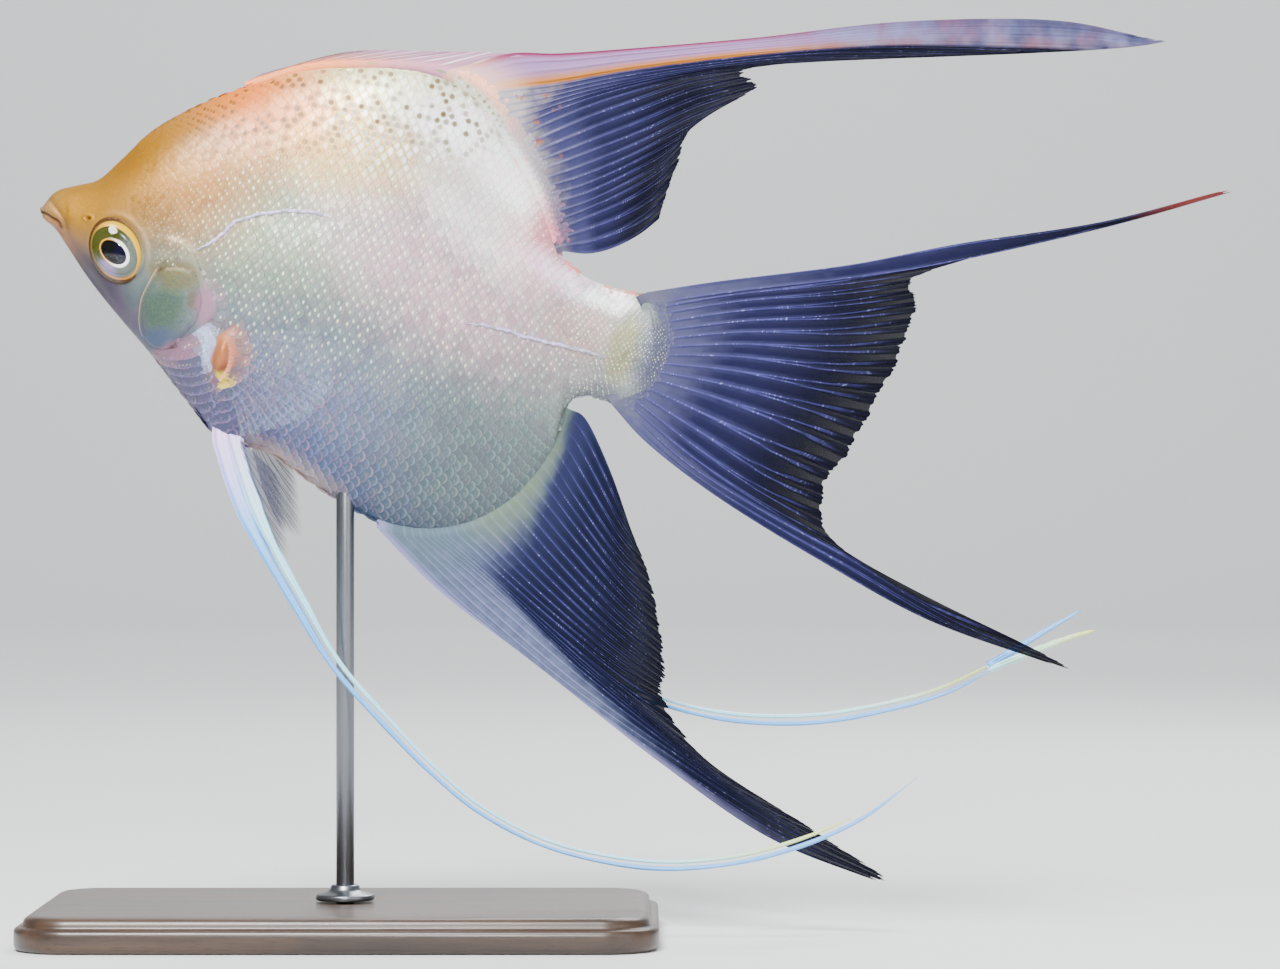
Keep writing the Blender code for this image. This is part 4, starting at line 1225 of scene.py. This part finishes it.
def median_fin(name, edge, rays, numbers, finish, slot, nodes, rows=FIN_ROWS, fork=0.20):
    """A fin on the middle line: forked rays under a thin membrane with a ragged rim."""
    grid, order = fin_grid(edge, rays, numbers, rows)
    along = np.linspace(0, 1, rows)[None, :]
    relief = ray_relief(order, rows, fork)
    grid = ragged(grid, order, relief, FRAY, len(name))
    height = ease(along, 0.02, 0.14) * (1 - 0.65 * ease(along, 0, 0.9))
    half = MEMBRANE + RAY_HEIGHT * relief * height + ROOT_HEIGHT * hump(along, 0.10)
    turn = math.tau * order[:, None]
    ripple = 0.00016 * np.sin(turn / 4.3) * ease(along, 0.15, 0.9)
    ripple = ripple + 0.00005 * np.cos(turn) * ease(along, 0.1, 0.6)
    values = {"along": along, "ray": relief, "order": order[:, None]}
    y = sway(grid) + ripple
    plate(name, grid, y, half, values, finish, slot, *nodes)
    return {"uv": grid, "y": y, "half": half}


def lay_sheath(name, fin, reach, finish):
    """Rows of scales that run out from the body over both sides of a fin's root."""
    rng = np.random.default_rng(len(name))
    grid = fin["uv"]
    columns, rows = grid.shape[:2]
    run = total(np.linalg.norm(np.diff(grid, axis=1), axis=2) * STANDARD_LENGTH)
    some, found = np.arange(0, columns, 6), []
    for row in range(int(reach / SHEATH_ROW)):
        far = (row + 0.4) * SHEATH_ROW
        share = far / reach
        size = 0.60 - 0.26 * share
        at_row = np.array([np.interp(far, run[i], np.arange(rows)) for i in some])
        line = sample(grid, some, at_row)
        spread = total(np.linalg.norm(np.diff(line, axis=0), axis=1)) * STANDARD_LENGTH
        step = SCALE_ROW * 1.8 * size
        spots = np.arange((0.5 + 0.5 * (row % 2)) * step, spread[-1], step)
        kept = rng.random(len(spots)) > share**3
        kept &= (spots > SHEATH_MARGIN) & (spots < spread[-1] - SHEATH_MARGIN)
        spots = spots[kept]
        for i in np.interp(spots, spread, some):
            found.append((i, np.interp(far, run[int(i)], np.arange(rows)), size, share))
    i, j, size, share = np.array(found).T
    uv, ahead = sample(grid, i, j), sample(grid, i, j + 0.5)
    middle, half = sample(fin["y"], i, j), sample(fin["half"], i, j)
    ats = [place(uv, middle + side * half) for side in (-1, 1)]
    ways = [place(ahead, middle + side * half) for side in (-1, 1)]
    at, out = np.concatenate(ats), np.zeros((2 * len(i), 3))
    out[:, 1] = np.repeat((-1, 1), len(i))
    flat_uv = np.stack([0.02 + 0.94 * i / columns, 0.25 + 0.2 * j / j.max()], axis=1)
    flat_uv = np.concatenate([flat_uv, flat_uv + (0, 0.5 * 0.94)])
    values = {"fade": np.tile(share, 2), "girth": np.zeros(2 * len(i))}
    lay_scales(
        name, at, np.concatenate(ways) - at, out, np.tile(size, 2), np.tile(uv, (2, 1)), values,
        flat_uv, finish,
    )


def fin_finish(name, stops, ray, clear=0.02, rim_clear=0.22, root=0.10):
    """A fin's finish: colours from root to rim, the rays' own colour, and how clear it is."""
    finish = Finish(name, roughness=0.42, specular_ior_level=0.04)
    along, height = finish.read("along"), finish.read("ray")
    blotch = finish.noise(420, 3.0, 0.6)
    place = along + 0.14 * (blotch - 0.5)
    finish.paint(stops[0][1])
    for (low, _), (high, shade) in zip(stops, stops[1:]):
        finish.lay(place.ease(low, high), shade)
    share, shade = ray
    joint = finish.math("SINE", along * 300.0 + 40.0 * finish.noise(260))
    shine = height.ease(0.62, 0.98) * along.ease(1.10, 0.40) * along.ease(0.0, root)
    finish.lay(shine * share * (0.5 + 0.5 * finish.noise(520).ease(0.30, 0.62)), shade)
    bead = joint.ease(0.55, 1.0) * finish.noise(900).ease(0.50, 0.66)
    finish.lay(bead * shine * 0.55, (210, 216, 240))
    open_part = (1.0 - height.ease(0.10, 0.75)) * along.ease(0.04, 0.26)
    thin = along.ease(0.62, 1.0)
    finish.set("Alpha", 1.0 - open_part * (clear + (rim_clear - clear) * thin))
    finish.bump(finish.noise(2600, 3.0, 0.6), 0.00005, 0.5)
    return finish


def broad_rays(finish, shade, share):
    """Each ray's wide pale band, with the dark membrane between, strongest near the root."""
    along = finish.read("along")
    band = finish.math("COSINE", finish.read("order") * math.tau).ease(-0.70, 0.60)
    band = band * (0.4 + 0.6 * finish.noise(420, 3.0).ease(0.30, 0.62))
    finish.lay(band * along.ease(0.85, 0.14) * along.ease(0.02, 0.10) * share, shade)


# ---------------------------------------------------------------- round shapes


def rounds(name, rings, values, finish, slot, nodes=()):
    """A closed surface over a stack of equal rings, each end drawn in to its middle."""
    rings = np.asarray(rings, float)
    steps, count = rings.shape[:2]
    sides, uv = tube(steps, count, steps - 1)
    turn = np.arange(count)
    after, tip, end = (turn + 1) % count, np.full(count, steps * count), (steps - 1) * count
    start = np.stack([turn, after, tip], axis=1)
    close = np.stack([end + after, end + turn, tip + 1], axis=1)
    points = np.vstack([rings.reshape(-1, 3), rings[0].mean(axis=0), rings[-1].mean(axis=0)])
    shown = {}
    for key, value in values.items():
        value = np.broadcast_to(value, (steps, count))
        shown[key] = np.concatenate([value.ravel(), [value[0].mean(), value[-1].mean()]])
    uv = [0.02 + 0.96 * uv, np.full((count, 3, 2), 0.01), np.full((count, 3, 2), 0.99)]
    keep(make(name, points, [sides, start, close], finish, shown, uv), slot, *nodes)


def lathe(name, profile, x, y, finish, slot, nodes):
    """A turned shape: rings of these radii at these heights."""
    turns = spokes(ROD_SIDES)
    rings = [
        np.stack([x + r * np.cos(turns), y + r * np.sin(turns), 0 * turns + z], axis=1)
        for r, z in profile
    ]
    rounds(name, rings, {}, finish, slot, nodes)


# ---------------------------------------------------------------- pelvic streamers


def streamer(
    name, path, side, finish, nodes=(), breadths=(1.0, 1.0), asides=(0.0, 0.0), reach=1.0,
    steps=170, begin=0.0,
):
    """A slim ribbed filament along a path of u, v, distance out and half breadth.

    Its breadth and its shift to the side change from the first to the second of their pair.
    """
    path = smooth(path, np.linspace(0, (len(path) - 1) * reach, steps))
    way = unit(np.gradient(path[:, :2], axis=0))
    normal = np.stack([-way[:, 1], way[:, 0]], axis=1)
    around = spokes(STREAMER_SIDES)
    ribs = 1 + 0.06 * np.cos(7 * around)
    share = np.linspace(0, 1, steps)
    wave = 0.07 * np.sin(46 * share) + 0.04 * np.sin(2 + 115 * share)
    scale = np.interp(share, (0.0, 0.35), breadths) * (1 + wave)
    scale = scale * (0.25 + 0.75 * ease(1 - share, 0, 0.06))
    aside = np.interp(share, (0.0, 0.5), asides)
    rings = []
    for (u, v, out, half), across, wide, off in zip(path, normal, scale, aside):
        thick = min(STREAMER_THICKNESS, half * wide * 0.9)
        middle = np.array([u, v]) + across * off * half / STANDARD_LENGTH
        broad = np.cos(around) * ribs * half * wide / STANDARD_LENGTH
        y = side * out + thick * np.sin(around) * ribs
        rings.append(place(middle + broad[:, None] * across, y))
    along = begin + (1 - begin) * share[:, None]
    values = {"along": along, "ray": (ribs[None, :] - 0.94) / 0.12}
    rounds(name, rings, values, finish, "white_fin", nodes)


def make_pelvic(path, side, word, strands, web):
    """A pelvic fin: a white double streamer, with a thin rayed web behind its base."""
    nodes = [f"pelvic_fin_{word}_{part}" for part in ("base", "middle", "tip")]
    fore, rear = f"pelvic_{word}_fore", f"pelvic_{word}_rear"
    streamer(fore, path, side, strands[0], nodes, (0.60, 0.40), (-0.42, -0.62))
    reach = 0.92 if side < 0 else 1.0
    streamer(rear, path, side, strands[1], (), (0.60, 0.36), (0.42, 0.60), reach)
    shift = np.array(path[1][:2]) - PELVIC_LEFT[1][:2]
    grid, relief, along = small_fin(np.array(PELVIC_WEB) + shift, 2, 97, 40, 3)
    out = np.interp(grid[..., 0], [row[0] for row in path], [row[2] for row in path])
    half = 0.00005 + 0.00010 * relief * (1 - 0.6 * along)
    values = {"along": along, "ray": relief}
    plate(f"pelvic_{word}_web", grid, side * out, half, values, web, "white_fin")


def streamer_finish(name, near, far):
    finish = Finish(
        name, roughness=0.34, coat_weight=0.12, coat_roughness=0.2, specular_ior_level=0.3,
    )
    along, rib = finish.read("along"), finish.read("ray")
    finish.paint(finish.mix(along.ease(0.02, 0.22), (226, 222, 244), near))
    finish.lay(along.ease(0.75, 1.0), far)
    finish.wash(0.4, finish.mix(finish.noise(900, 3.0), (0.70, 0.76, 0.90), UNTINTED))
    # Painted shade: bluer and darker in the grooves between the ribs, over the strands' own blue
    # striping
    finish.wash(0.75 * (1.0 - rib), (0.30, 0.42, 0.72))
    finish.bump(finish.noise(3000, 3.0), 0.00004, 0.5)
    return finish


# ---------------------------------------------------------------- eyes


def oval(turns, size, tilt):
    """Points of a tilted ellipse in these directions, as x and z."""
    reach = 1 / np.hypot(np.cos(turns - tilt) / size[0], np.sin(turns - tilt) / size[1])
    return np.stack([reach * np.cos(turns), reach * np.sin(turns)], axis=1)


def eye_surface(flat, centre, side, sink):
    """World points on the eyeball's front over these x and z, sunk by this much."""
    share = np.minimum(out_of_eye(*flat.T), 1)
    out = EYE_SIZE[1] * np.sqrt(1 - share**2) - sink
    return np.stack([centre.x + flat[:, 0], centre.y + side * out, centre.z + flat[:, 1]], axis=1)


def make_eye(side, finish, clear):
    """An eyeball with its gold ring, sloping iris and deep pupil, and a clear cornea over it."""
    word = "left" if side < 0 else "right"
    low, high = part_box(f"eye_{word}")
    centre = (low + high) / 2
    turns = spokes(EYE_SIDES)
    outer = oval(turns, (EYE_SIZE[0], EYE_SIZE[2]), EYE_TILT)
    pupil = np.array(PUPIL_AT) + oval(turns, PUPIL_SIZE, PUPIL_TILT)
    rings, iris = [], []

    def front(flat, sink):
        return eye_surface(flat, centre, side, sink)

    for part in np.linspace(0.03, 0.97, 10):
        flat = np.array(PUPIL_AT) + (pupil - PUPIL_AT) * part
        rings.append(front(flat, 0.00072 - 0.00016 * ease(part, 0.8, 1.0)))
        iris.append(part - 1)
    for part in np.linspace(0, 0.97, 56):
        sink = 0.00040 - 0.00034 * ease(part, 0.02, 0.50) + 0.00010 * hump(part - 0.50, 0.020)
        sink -= 0.00006 * hump(part - 0.055, 0.035) + 0.00008 * hump(part - 0.64, 0.08)
        rings.append(front(pupil * (1 - part) + outer * part, sink))
        iris.append(part)
    for angle in np.linspace(0, math.pi / 2, 9)[:-1]:
        back = np.full(len(turns), centre.y - side * EYE_SIZE[1] * math.sin(angle))
        flat = outer * math.cos(angle)
        rings.append(np.stack([centre.x + flat[:, 0], back, centre.z + flat[:, 1]], axis=1))
        iris.append(1.2)
    values = {"iris": np.array(iris)[:, None], "turn_x": np.cos(turns), "turn_z": np.sin(turns)}
    rounds(f"eyeball_{word}", rings, values, finish, "eye", [f"eye_{word}"])
    parts = np.linspace(0.03, 0.93, 24)
    shell = [front(outer * part, -CORNEA_OUT) for part in parts]
    shell += [front(outer * part, CORNEA_IN) for part in parts[::-1]]
    rounds(f"cornea_{word}", shell, {}, clear, "eye")


def eye_finish():
    finish = Finish("eye", roughness=0.34, specular_ior_level=0.0, coat_roughness=0.15)
    iris, turn_x, turn_z = (finish.read(key) for key in ("iris", "turn_x", "turn_z"))
    speck = finish.noise(5200, 3.0, 0.7)
    upper = (0.75 * turn_x + 0.66 * turn_z).ease(-0.5, 0.95)
    front = (turn_z - 0.9 * turn_x).ease(-0.3, 0.9)
    finish.paint(finish.mix(front, (140, 150, 140), (112, 96, 24)))
    finish.lay((0.0 - turn_z - 0.5 * turn_x).ease(0.85, 1.12) * 0.6, (196, 186, 210))
    finish.wash(0.7, finish.mix(speck, (0.35, 0.35, 0.40), UNTINTED))
    near = (turn_x - 0.25 * turn_z).ease(-0.75, 0.75)
    white = iris.ease(0.06 + 0.13 * near, 0.04 + 0.05 * near)
    finish.lay(white, finish.mix(near, (226, 186, 60), (250, 250, 250)))
    ring = finish.mix(upper, (222, 186, 120), (228, 170, 0))
    ring = finish.mix((0.0 - turn_x).ease(0.30, 0.85), ring, (190, 148, 36))
    ring = finish.times(0.5, ring, finish.mix(speck, (0.70, 0.55, 0.20), UNTINTED))
    finish.lay(iris.ease(0.64 - 0.15 * upper, 0.68 - 0.15 * upper), ring)
    finish.lay(iris.ease(0.72, 0.80), (120, 70, 30))
    finish.set("Coat Weight", iris.ease(-0.02, 0.04) * 0.5)
    pupil = finish.mix(turn_x.ease(0.0, 0.9), (5, 5, 7), (10, 16, 50))
    finish.lay(iris.ease(-0.015, -0.06), pupil)
    finish.bump(speck, 0.00003, 0.4)
    return finish


# ---------------------------------------------------------------- stand and studio


def wood_finish():
    finish = Finish("walnut", roughness=0.38, coat_weight=0.35, coat_roughness=0.2)
    wave = finish.drawn((16.0, 190.0, 150.0), 0.05, 5.0, 0.6)
    pore = finish.drawn((300.0, 4200.0, 4200.0), 0.03, 2.0)
    finish.paint(finish.mix(wave.ease(0.30, 0.70), (60, 38, 26), (120, 82, 56)))
    finish.wash(pore.ease(0.58, 0.70) * 0.7, (0.35, 0.30, 0.28))
    finish.set("Roughness", 0.30 + 0.25 * wave)
    finish.bump(wave + 0.6 * pore, 0.00010, 0.35)
    return finish


def steel_finish():
    finish = Finish("brushed steel", metallic=1.0, base_color=(176, 178, 182))
    lines = finish.drawn((600.0, 600.0, 9000.0), 0.0, 3.0)
    finish.set("Roughness", 0.22 + 0.22 * lines)
    finish.bump(lines, 0.00002, 0.3)
    return finish


def base_rings(low, high, profile):
    """Rounded oblong outlines, drawn in by each inset and set at each height."""
    turns = (np.arange(BASE_SIDES) + 0.5) * math.tau / BASE_SIDES
    middle = (low + high) / 2
    half = (high - low) / 2
    rings = []
    for inset, z in profile:
        radius = BASE_CORNER - inset
        x = np.sign(np.cos(turns)) * (half.x - BASE_CORNER) + radius * np.cos(turns)
        y = np.sign(np.sin(turns)) * (half.y - BASE_CORNER) + radius * np.sin(turns)
        rings.append(np.stack([middle.x + x, middle.y + y, np.full(len(turns), low.z + z)], axis=1))
    return rings


def make_stand(wood, steel):
    low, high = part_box("stand_base")
    depth = high.z - low.z
    mould = milli(
        (5.0, 0), (0.9, 0), (0.4, 0.2), (0.1, 0.6), (0, 1.0), (0, 2.6), (0.1, 3.0), (0.4, 3.3),
        (0.9, 3.4), (1.2, 3.5), (1.3, 3.8), (1.4, 4.3), (1.8, 4.7), (2.4, 4.9),
    )
    rings = base_rings(low, high, (*mould, (0.0032, depth), (0.0060, depth)))
    rounds("display_base", rings, {}, wood, "wood", ["stand_base"])
    low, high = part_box("stand_rod")
    x, y, radius = (low.x + high.x) / 2, (low.y + high.y) / 2, (high.x - low.x) / 2
    profile = [
        (radius * 0.8, low.z), (radius, low.z + 0.0004), (radius, high.z - 0.0012),
        (radius * 0.94, high.z - 0.0008), (radius * 0.72, high.z - 0.0002), (radius * 0.4, high.z),
    ]
    lathe("display_rod", profile, x, y, steel, "steel", ["stand_rod"])
    low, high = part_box("stand_collar")
    wide, tall = (high.x - low.x) / 2, high.z - low.z
    collar = (
        (0.5, 0.0), (0.97, 0.0), (1.0, 0.00015 / tall), (1.0, 0.30), (0.985, 0.34), (0.96, 0.38),
        (0.90, 0.42), (0.62, 0.56), (0.52, 0.70), (0.48, 0.92), (0.46, 0.98), (0.42, 1.0),
    )
    profile = [(wide * r, low.z + tall * z) for r, z in collar]
    lathe("display_collar", profile, x, y, steel, "steel", ["stand_collar"])


def make_studio():
    """A pale floor that curves up behind, soft lamps and a level camera."""
    finish = Finish("studio floor", roughness=0.7, base_color=(0.70, 0.71, 0.72))
    curve = [
        (FLOOR_BACK + FLOOR_BEND * math.sin(t), FLOOR_BEND - FLOOR_BEND * math.cos(t))
        for t in np.linspace(0, math.pi / 2, 16)
    ]
    line = [(-3.0, 0.0), (-1.0, 0.0), (0.0, 0.0), *curve, (FLOOR_BACK + FLOOR_BEND, 3.0)]
    points = [(x, y, z) for y, z in line for x in (-4.0, 4.0)]
    faces = [[2 * k, 2 * k + 1, 2 * k + 3, 2 * k + 2] for k in range(len(line) - 1)]
    mesh = bpy.data.meshes.new("studio_floor")
    mesh.from_pydata(points, [], faces)
    mesh.shade_smooth()
    mesh.materials.append(finish.material)
    put("studio_floor", mesh)
    for name, spot, size, power in LAMPS:
        lamp = bpy.data.lights.new(name, "AREA")
        lamp.shape, lamp.size, lamp.energy = "DISK", size, power
        made = put(name, lamp)
        made.location = spot
        target = Vector(BACKDROP_AIM if name == "backdrop" else LAMP_AIM)
        made.rotation_euler = (target - Vector(spot)).to_track_quat("-Z", "Y").to_euler()
    world = bpy.data.worlds.new("studio")
    world.use_nodes = True
    world.node_tree.nodes["Background"].inputs["Color"].default_value = (*WORLD_LIGHT, 1)
    bpy.context.scene.world = world
    camera = put("camera", bpy.data.cameras.new("camera"))
    camera.location = CAMERA_AT
    camera.rotation_euler = (math.pi / 2, 0, 0)
    camera.data.sensor_width = SENSOR
    camera.data.lens = SENSOR * -CAMERA_AT[1] / VIEW_WIDTH
    bpy.context.scene.camera = camera


# ---------------------------------------------------------------- the model


def make_spiny_dorsal():
    finish = fin_finish(
        "spiny dorsal", ((0.0, (236, 190, 150)), (0.4, (206, 176, 164)), (1.0, (186, 160, 176))),
        (0.60, (240, 226, 244)), 0.10, 0.20, 0.35,
    )
    pale = finish.read("ray").ease(0.2, 0.9) * finish.read("along").ease(0.05, 0.40) * 0.8
    lilac = finish.mix(pale, (208, 188, 202), (240, 230, 242))
    finish.lay(finish.read("body_u").ease(0.38, 0.56) * 0.85, lilac)
    nodes = ["dorsal_fin_spines"]
    median_fin(
        "dorsal_spines", back_edge, SPINES, SPINE_NUMBERS, finish, "pink_fin", nodes, 40, 0.0,
    )


def make_dorsal():
    """The tall dorsal fin: a navy sail under a lilac and orange leading rod."""
    finish = fin_finish(
        "dorsal sail",
        ((0.0, (206, 200, 200)), (0.16, (84, 94, 140)), (0.34, (34, 43, 86)), (0.7, (14, 18, 38))),
        (0.80, (104, 114, 172)),
    )
    u, along, order = finish.read("body_u"), finish.read("along"), finish.read("order")
    finish.lay(u.ease(0.74, 0.84) * along.ease(0.24, 0.06) * 0.85, (66, 76, 122))
    streak = finish.read("ray").ease(0.25, 0.8) * along.ease(0.36, 0.10)
    finish.lay(streak * u.ease(0.92, 0.76) * 0.65, (186, 186, 200))
    spots = finish.noise(560).ease(0.62, 0.70) * along.ease(0.30, 0.12)
    finish.lay(spots * u.ease(0.86, 0.74) * 0.85, (196, 124, 50))
    broad_rays(finish, (84, 94, 144), 0.55)
    rod = finish.mix(order.ease(0.9, 0.1), (188, 170, 196), (178, 100, 144))
    rod = finish.mix(order.ease(1.9, 3.1), rod, (204, 146, 60))
    rod = finish.mix(along.ease(0.10, 0.0) * 0.7, rod, (236, 214, 206))
    far = finish.mix(finish.noise(330, 3.0).ease(0.30, 0.70), (156, 132, 158), (150, 166, 192))
    rod = finish.mix(along.ease(0.38, 0.62) * 0.8, rod, far)
    dusky = along.ease(0.58, 0.80) * finish.noise(300).ease(0.80, 0.25)
    rod = finish.mix(dusky, rod, (92, 106, 146))
    finish.lay((order + 0.4 * finish.noise(300)).ease(4.2, 3.4), rod)
    nodes = ["dorsal_fin_streamer", "dorsal_fin_fan"]
    return median_fin(
        "dorsal_sail", back_edge, DORSAL, DORSAL_NUMBERS, finish, "navy_fin", nodes,
    )


def make_caudal():
    finish = fin_finish(
        "caudal fin",
        (
            (0.0, (136, 140, 156)), (0.07, (112, 120, 154)), (0.35, (38, 47, 94)),
            (0.9, (12, 16, 28)),
        ),
        (0.80, (128, 138, 192)),
    )
    broad_rays(finish, (96, 106, 152), 0.60)
    tip = finish.read("body_u").ease(1.72, 1.84) * finish.read("body_v").ease(0.1, 0.3)
    finish.lay(tip, (150, 60, 56))
    nodes = ["caudal_fin_fan", "caudal_fin_streamer_upper", "caudal_fin_streamer_lower"]
    return median_fin(
        "caudal_fin", tail_edge, CAUDAL, CAUDAL_NUMBERS, finish, "navy_fin", nodes,
    )


def make_anal_fin():
    """The anal fin: pale and bare in front, green at the root and navy behind."""
    finish = fin_finish(
        "anal fin",
        ((0.0, (146, 160, 150)), (0.10, (52, 66, 108)), (0.4, (24, 33, 68)), (1.0, (12, 17, 31))),
        (0.75, (116, 130, 180)),
    )
    broad_rays(finish, (72, 86, 136), 0.45)
    order, out = finish.read("order"), finish.read("along") + 0.10 * finish.noise(400)
    late = order.ease(14.0, 24.0)
    finish.lay(late * out.ease(0.32, 0.08) * 0.8, (60, 72, 116))
    bare = 0.30 - 0.013 * order + 0.24 * order.ease(8.0, 2.0)
    pale = finish.mix(finish.noise(700, 3.0), (104, 124, 150), (160, 170, 192))
    pale = finish.mix(finish.read("ray").ease(0.2, 0.9) * 0.5, pale, (184, 188, 206))
    finish.lay((out - bare).ease(0.15, -0.07) * 0.92, pale)
    green = finish.mix(order.ease(9.0, 15.0), (126, 152, 158), (152, 162, 136))
    finish.lay(out.ease(0.24 - 0.13 * late, 0.02) * 0.75, green)
    finish.lay(order.ease(1.2, 0.2) * out.ease(0.95, 0.50) * 0.7, (182, 184, 206))
    nodes = ["anal_fin_front", "anal_fin_streamer", "anal_fin_fan"]
    median_fin("anal_fin", belly_edge, ANAL, ANAL_NUMBERS, finish, "navy_fin", nodes)


def make_pectorals():
    """The two pectoral fins, nearly clear but for their rays and roots."""
    finish = fin_finish(
        "pectoral fins", ((0.0, (226, 200, 186)), (0.3, (214, 214, 220)), (1.0, (222, 226, 232))),
        (0.3, (238, 240, 244)), 0.90, 0.95,
    )
    rays, root = finish.read("ray").ease(0.3, 0.9), finish.read("along").ease(0.07, 0.0)
    finish.set("Alpha", 0.010 + 0.040 * rays + 0.4 * root)
    for rays, side, word in ((PECTORAL_LEFT, -1, "left"), (PECTORAL_RIGHT, 1, "right")):
        grid, relief, along = small_fin(rays, 4, 133, 60, 5)
        half = 0.00008 + 0.00014 * relief * (1 - 0.6 * along) + 0.0003 * hump(along, 0.08)
        y = side * (PECTORAL_ROOT_Y + PECTORAL_REACH_Y * along**1.2)
        values, node = {"along": along, "ray": relief}, f"pectoral_fin_{word}"
        plate(f"pectoral_{word}", grid, y, half, values, finish, "clear_fin", node)


def make_pelvics():
    strands = (
        streamer_finish("streamers' lower strand", (166, 216, 252), (184, 216, 234)),
        streamer_finish("streamers' upper strand", (212, 234, 246), (230, 232, 176)),
    )
    web = fin_finish(
        "pelvic web", ((0.0, (120, 124, 160)), (0.3, (84, 92, 124)), (1.0, (80, 88, 116))),
        (0.8, (150, 160, 190)), 0.6, 0.8,
    )
    rays, rim = web.read("ray").ease(0.3, 0.9), web.read("along").ease(1.03, 0.72)
    web.set("Alpha", (0.34 + 0.30 * rays) * rim)
    make_pelvic(PELVIC_LEFT, -1, "left", strands, web)
    make_pelvic(PELVIC_RIGHT, 1, "right", strands, web)
    for k, prong in enumerate(PRONGS):
        streamer(f"pelvic_right_prong_{k + 1}", prong, 1, strands[k], steps=50, begin=0.8)


def main():
    shape = skin_shape()
    make_skin(shape, skin_finish())
    coat = scale_finish()
    make_scales(shape, coat)
    make_lateral_lines(shape)
    eyes, clear = eye_finish(), Finish("cornea", metallic=1.0, roughness=0.03, alpha=0.022)
    for side in (-1, 1):
        make_eye(side, eyes, clear)
    make_spiny_dorsal()
    dorsal, caudal = make_dorsal(), make_caudal()
    make_anal_fin()
    lay_sheath("dorsal_sheath", dorsal, DORSAL_SHEATH, coat)
    lay_sheath("caudal_sheath", caudal, CAUDAL_SHEATH, coat)
    make_pectorals()
    make_pelvics()
    make_stand(wood_finish(), steel_finish())
    make_studio()


main()
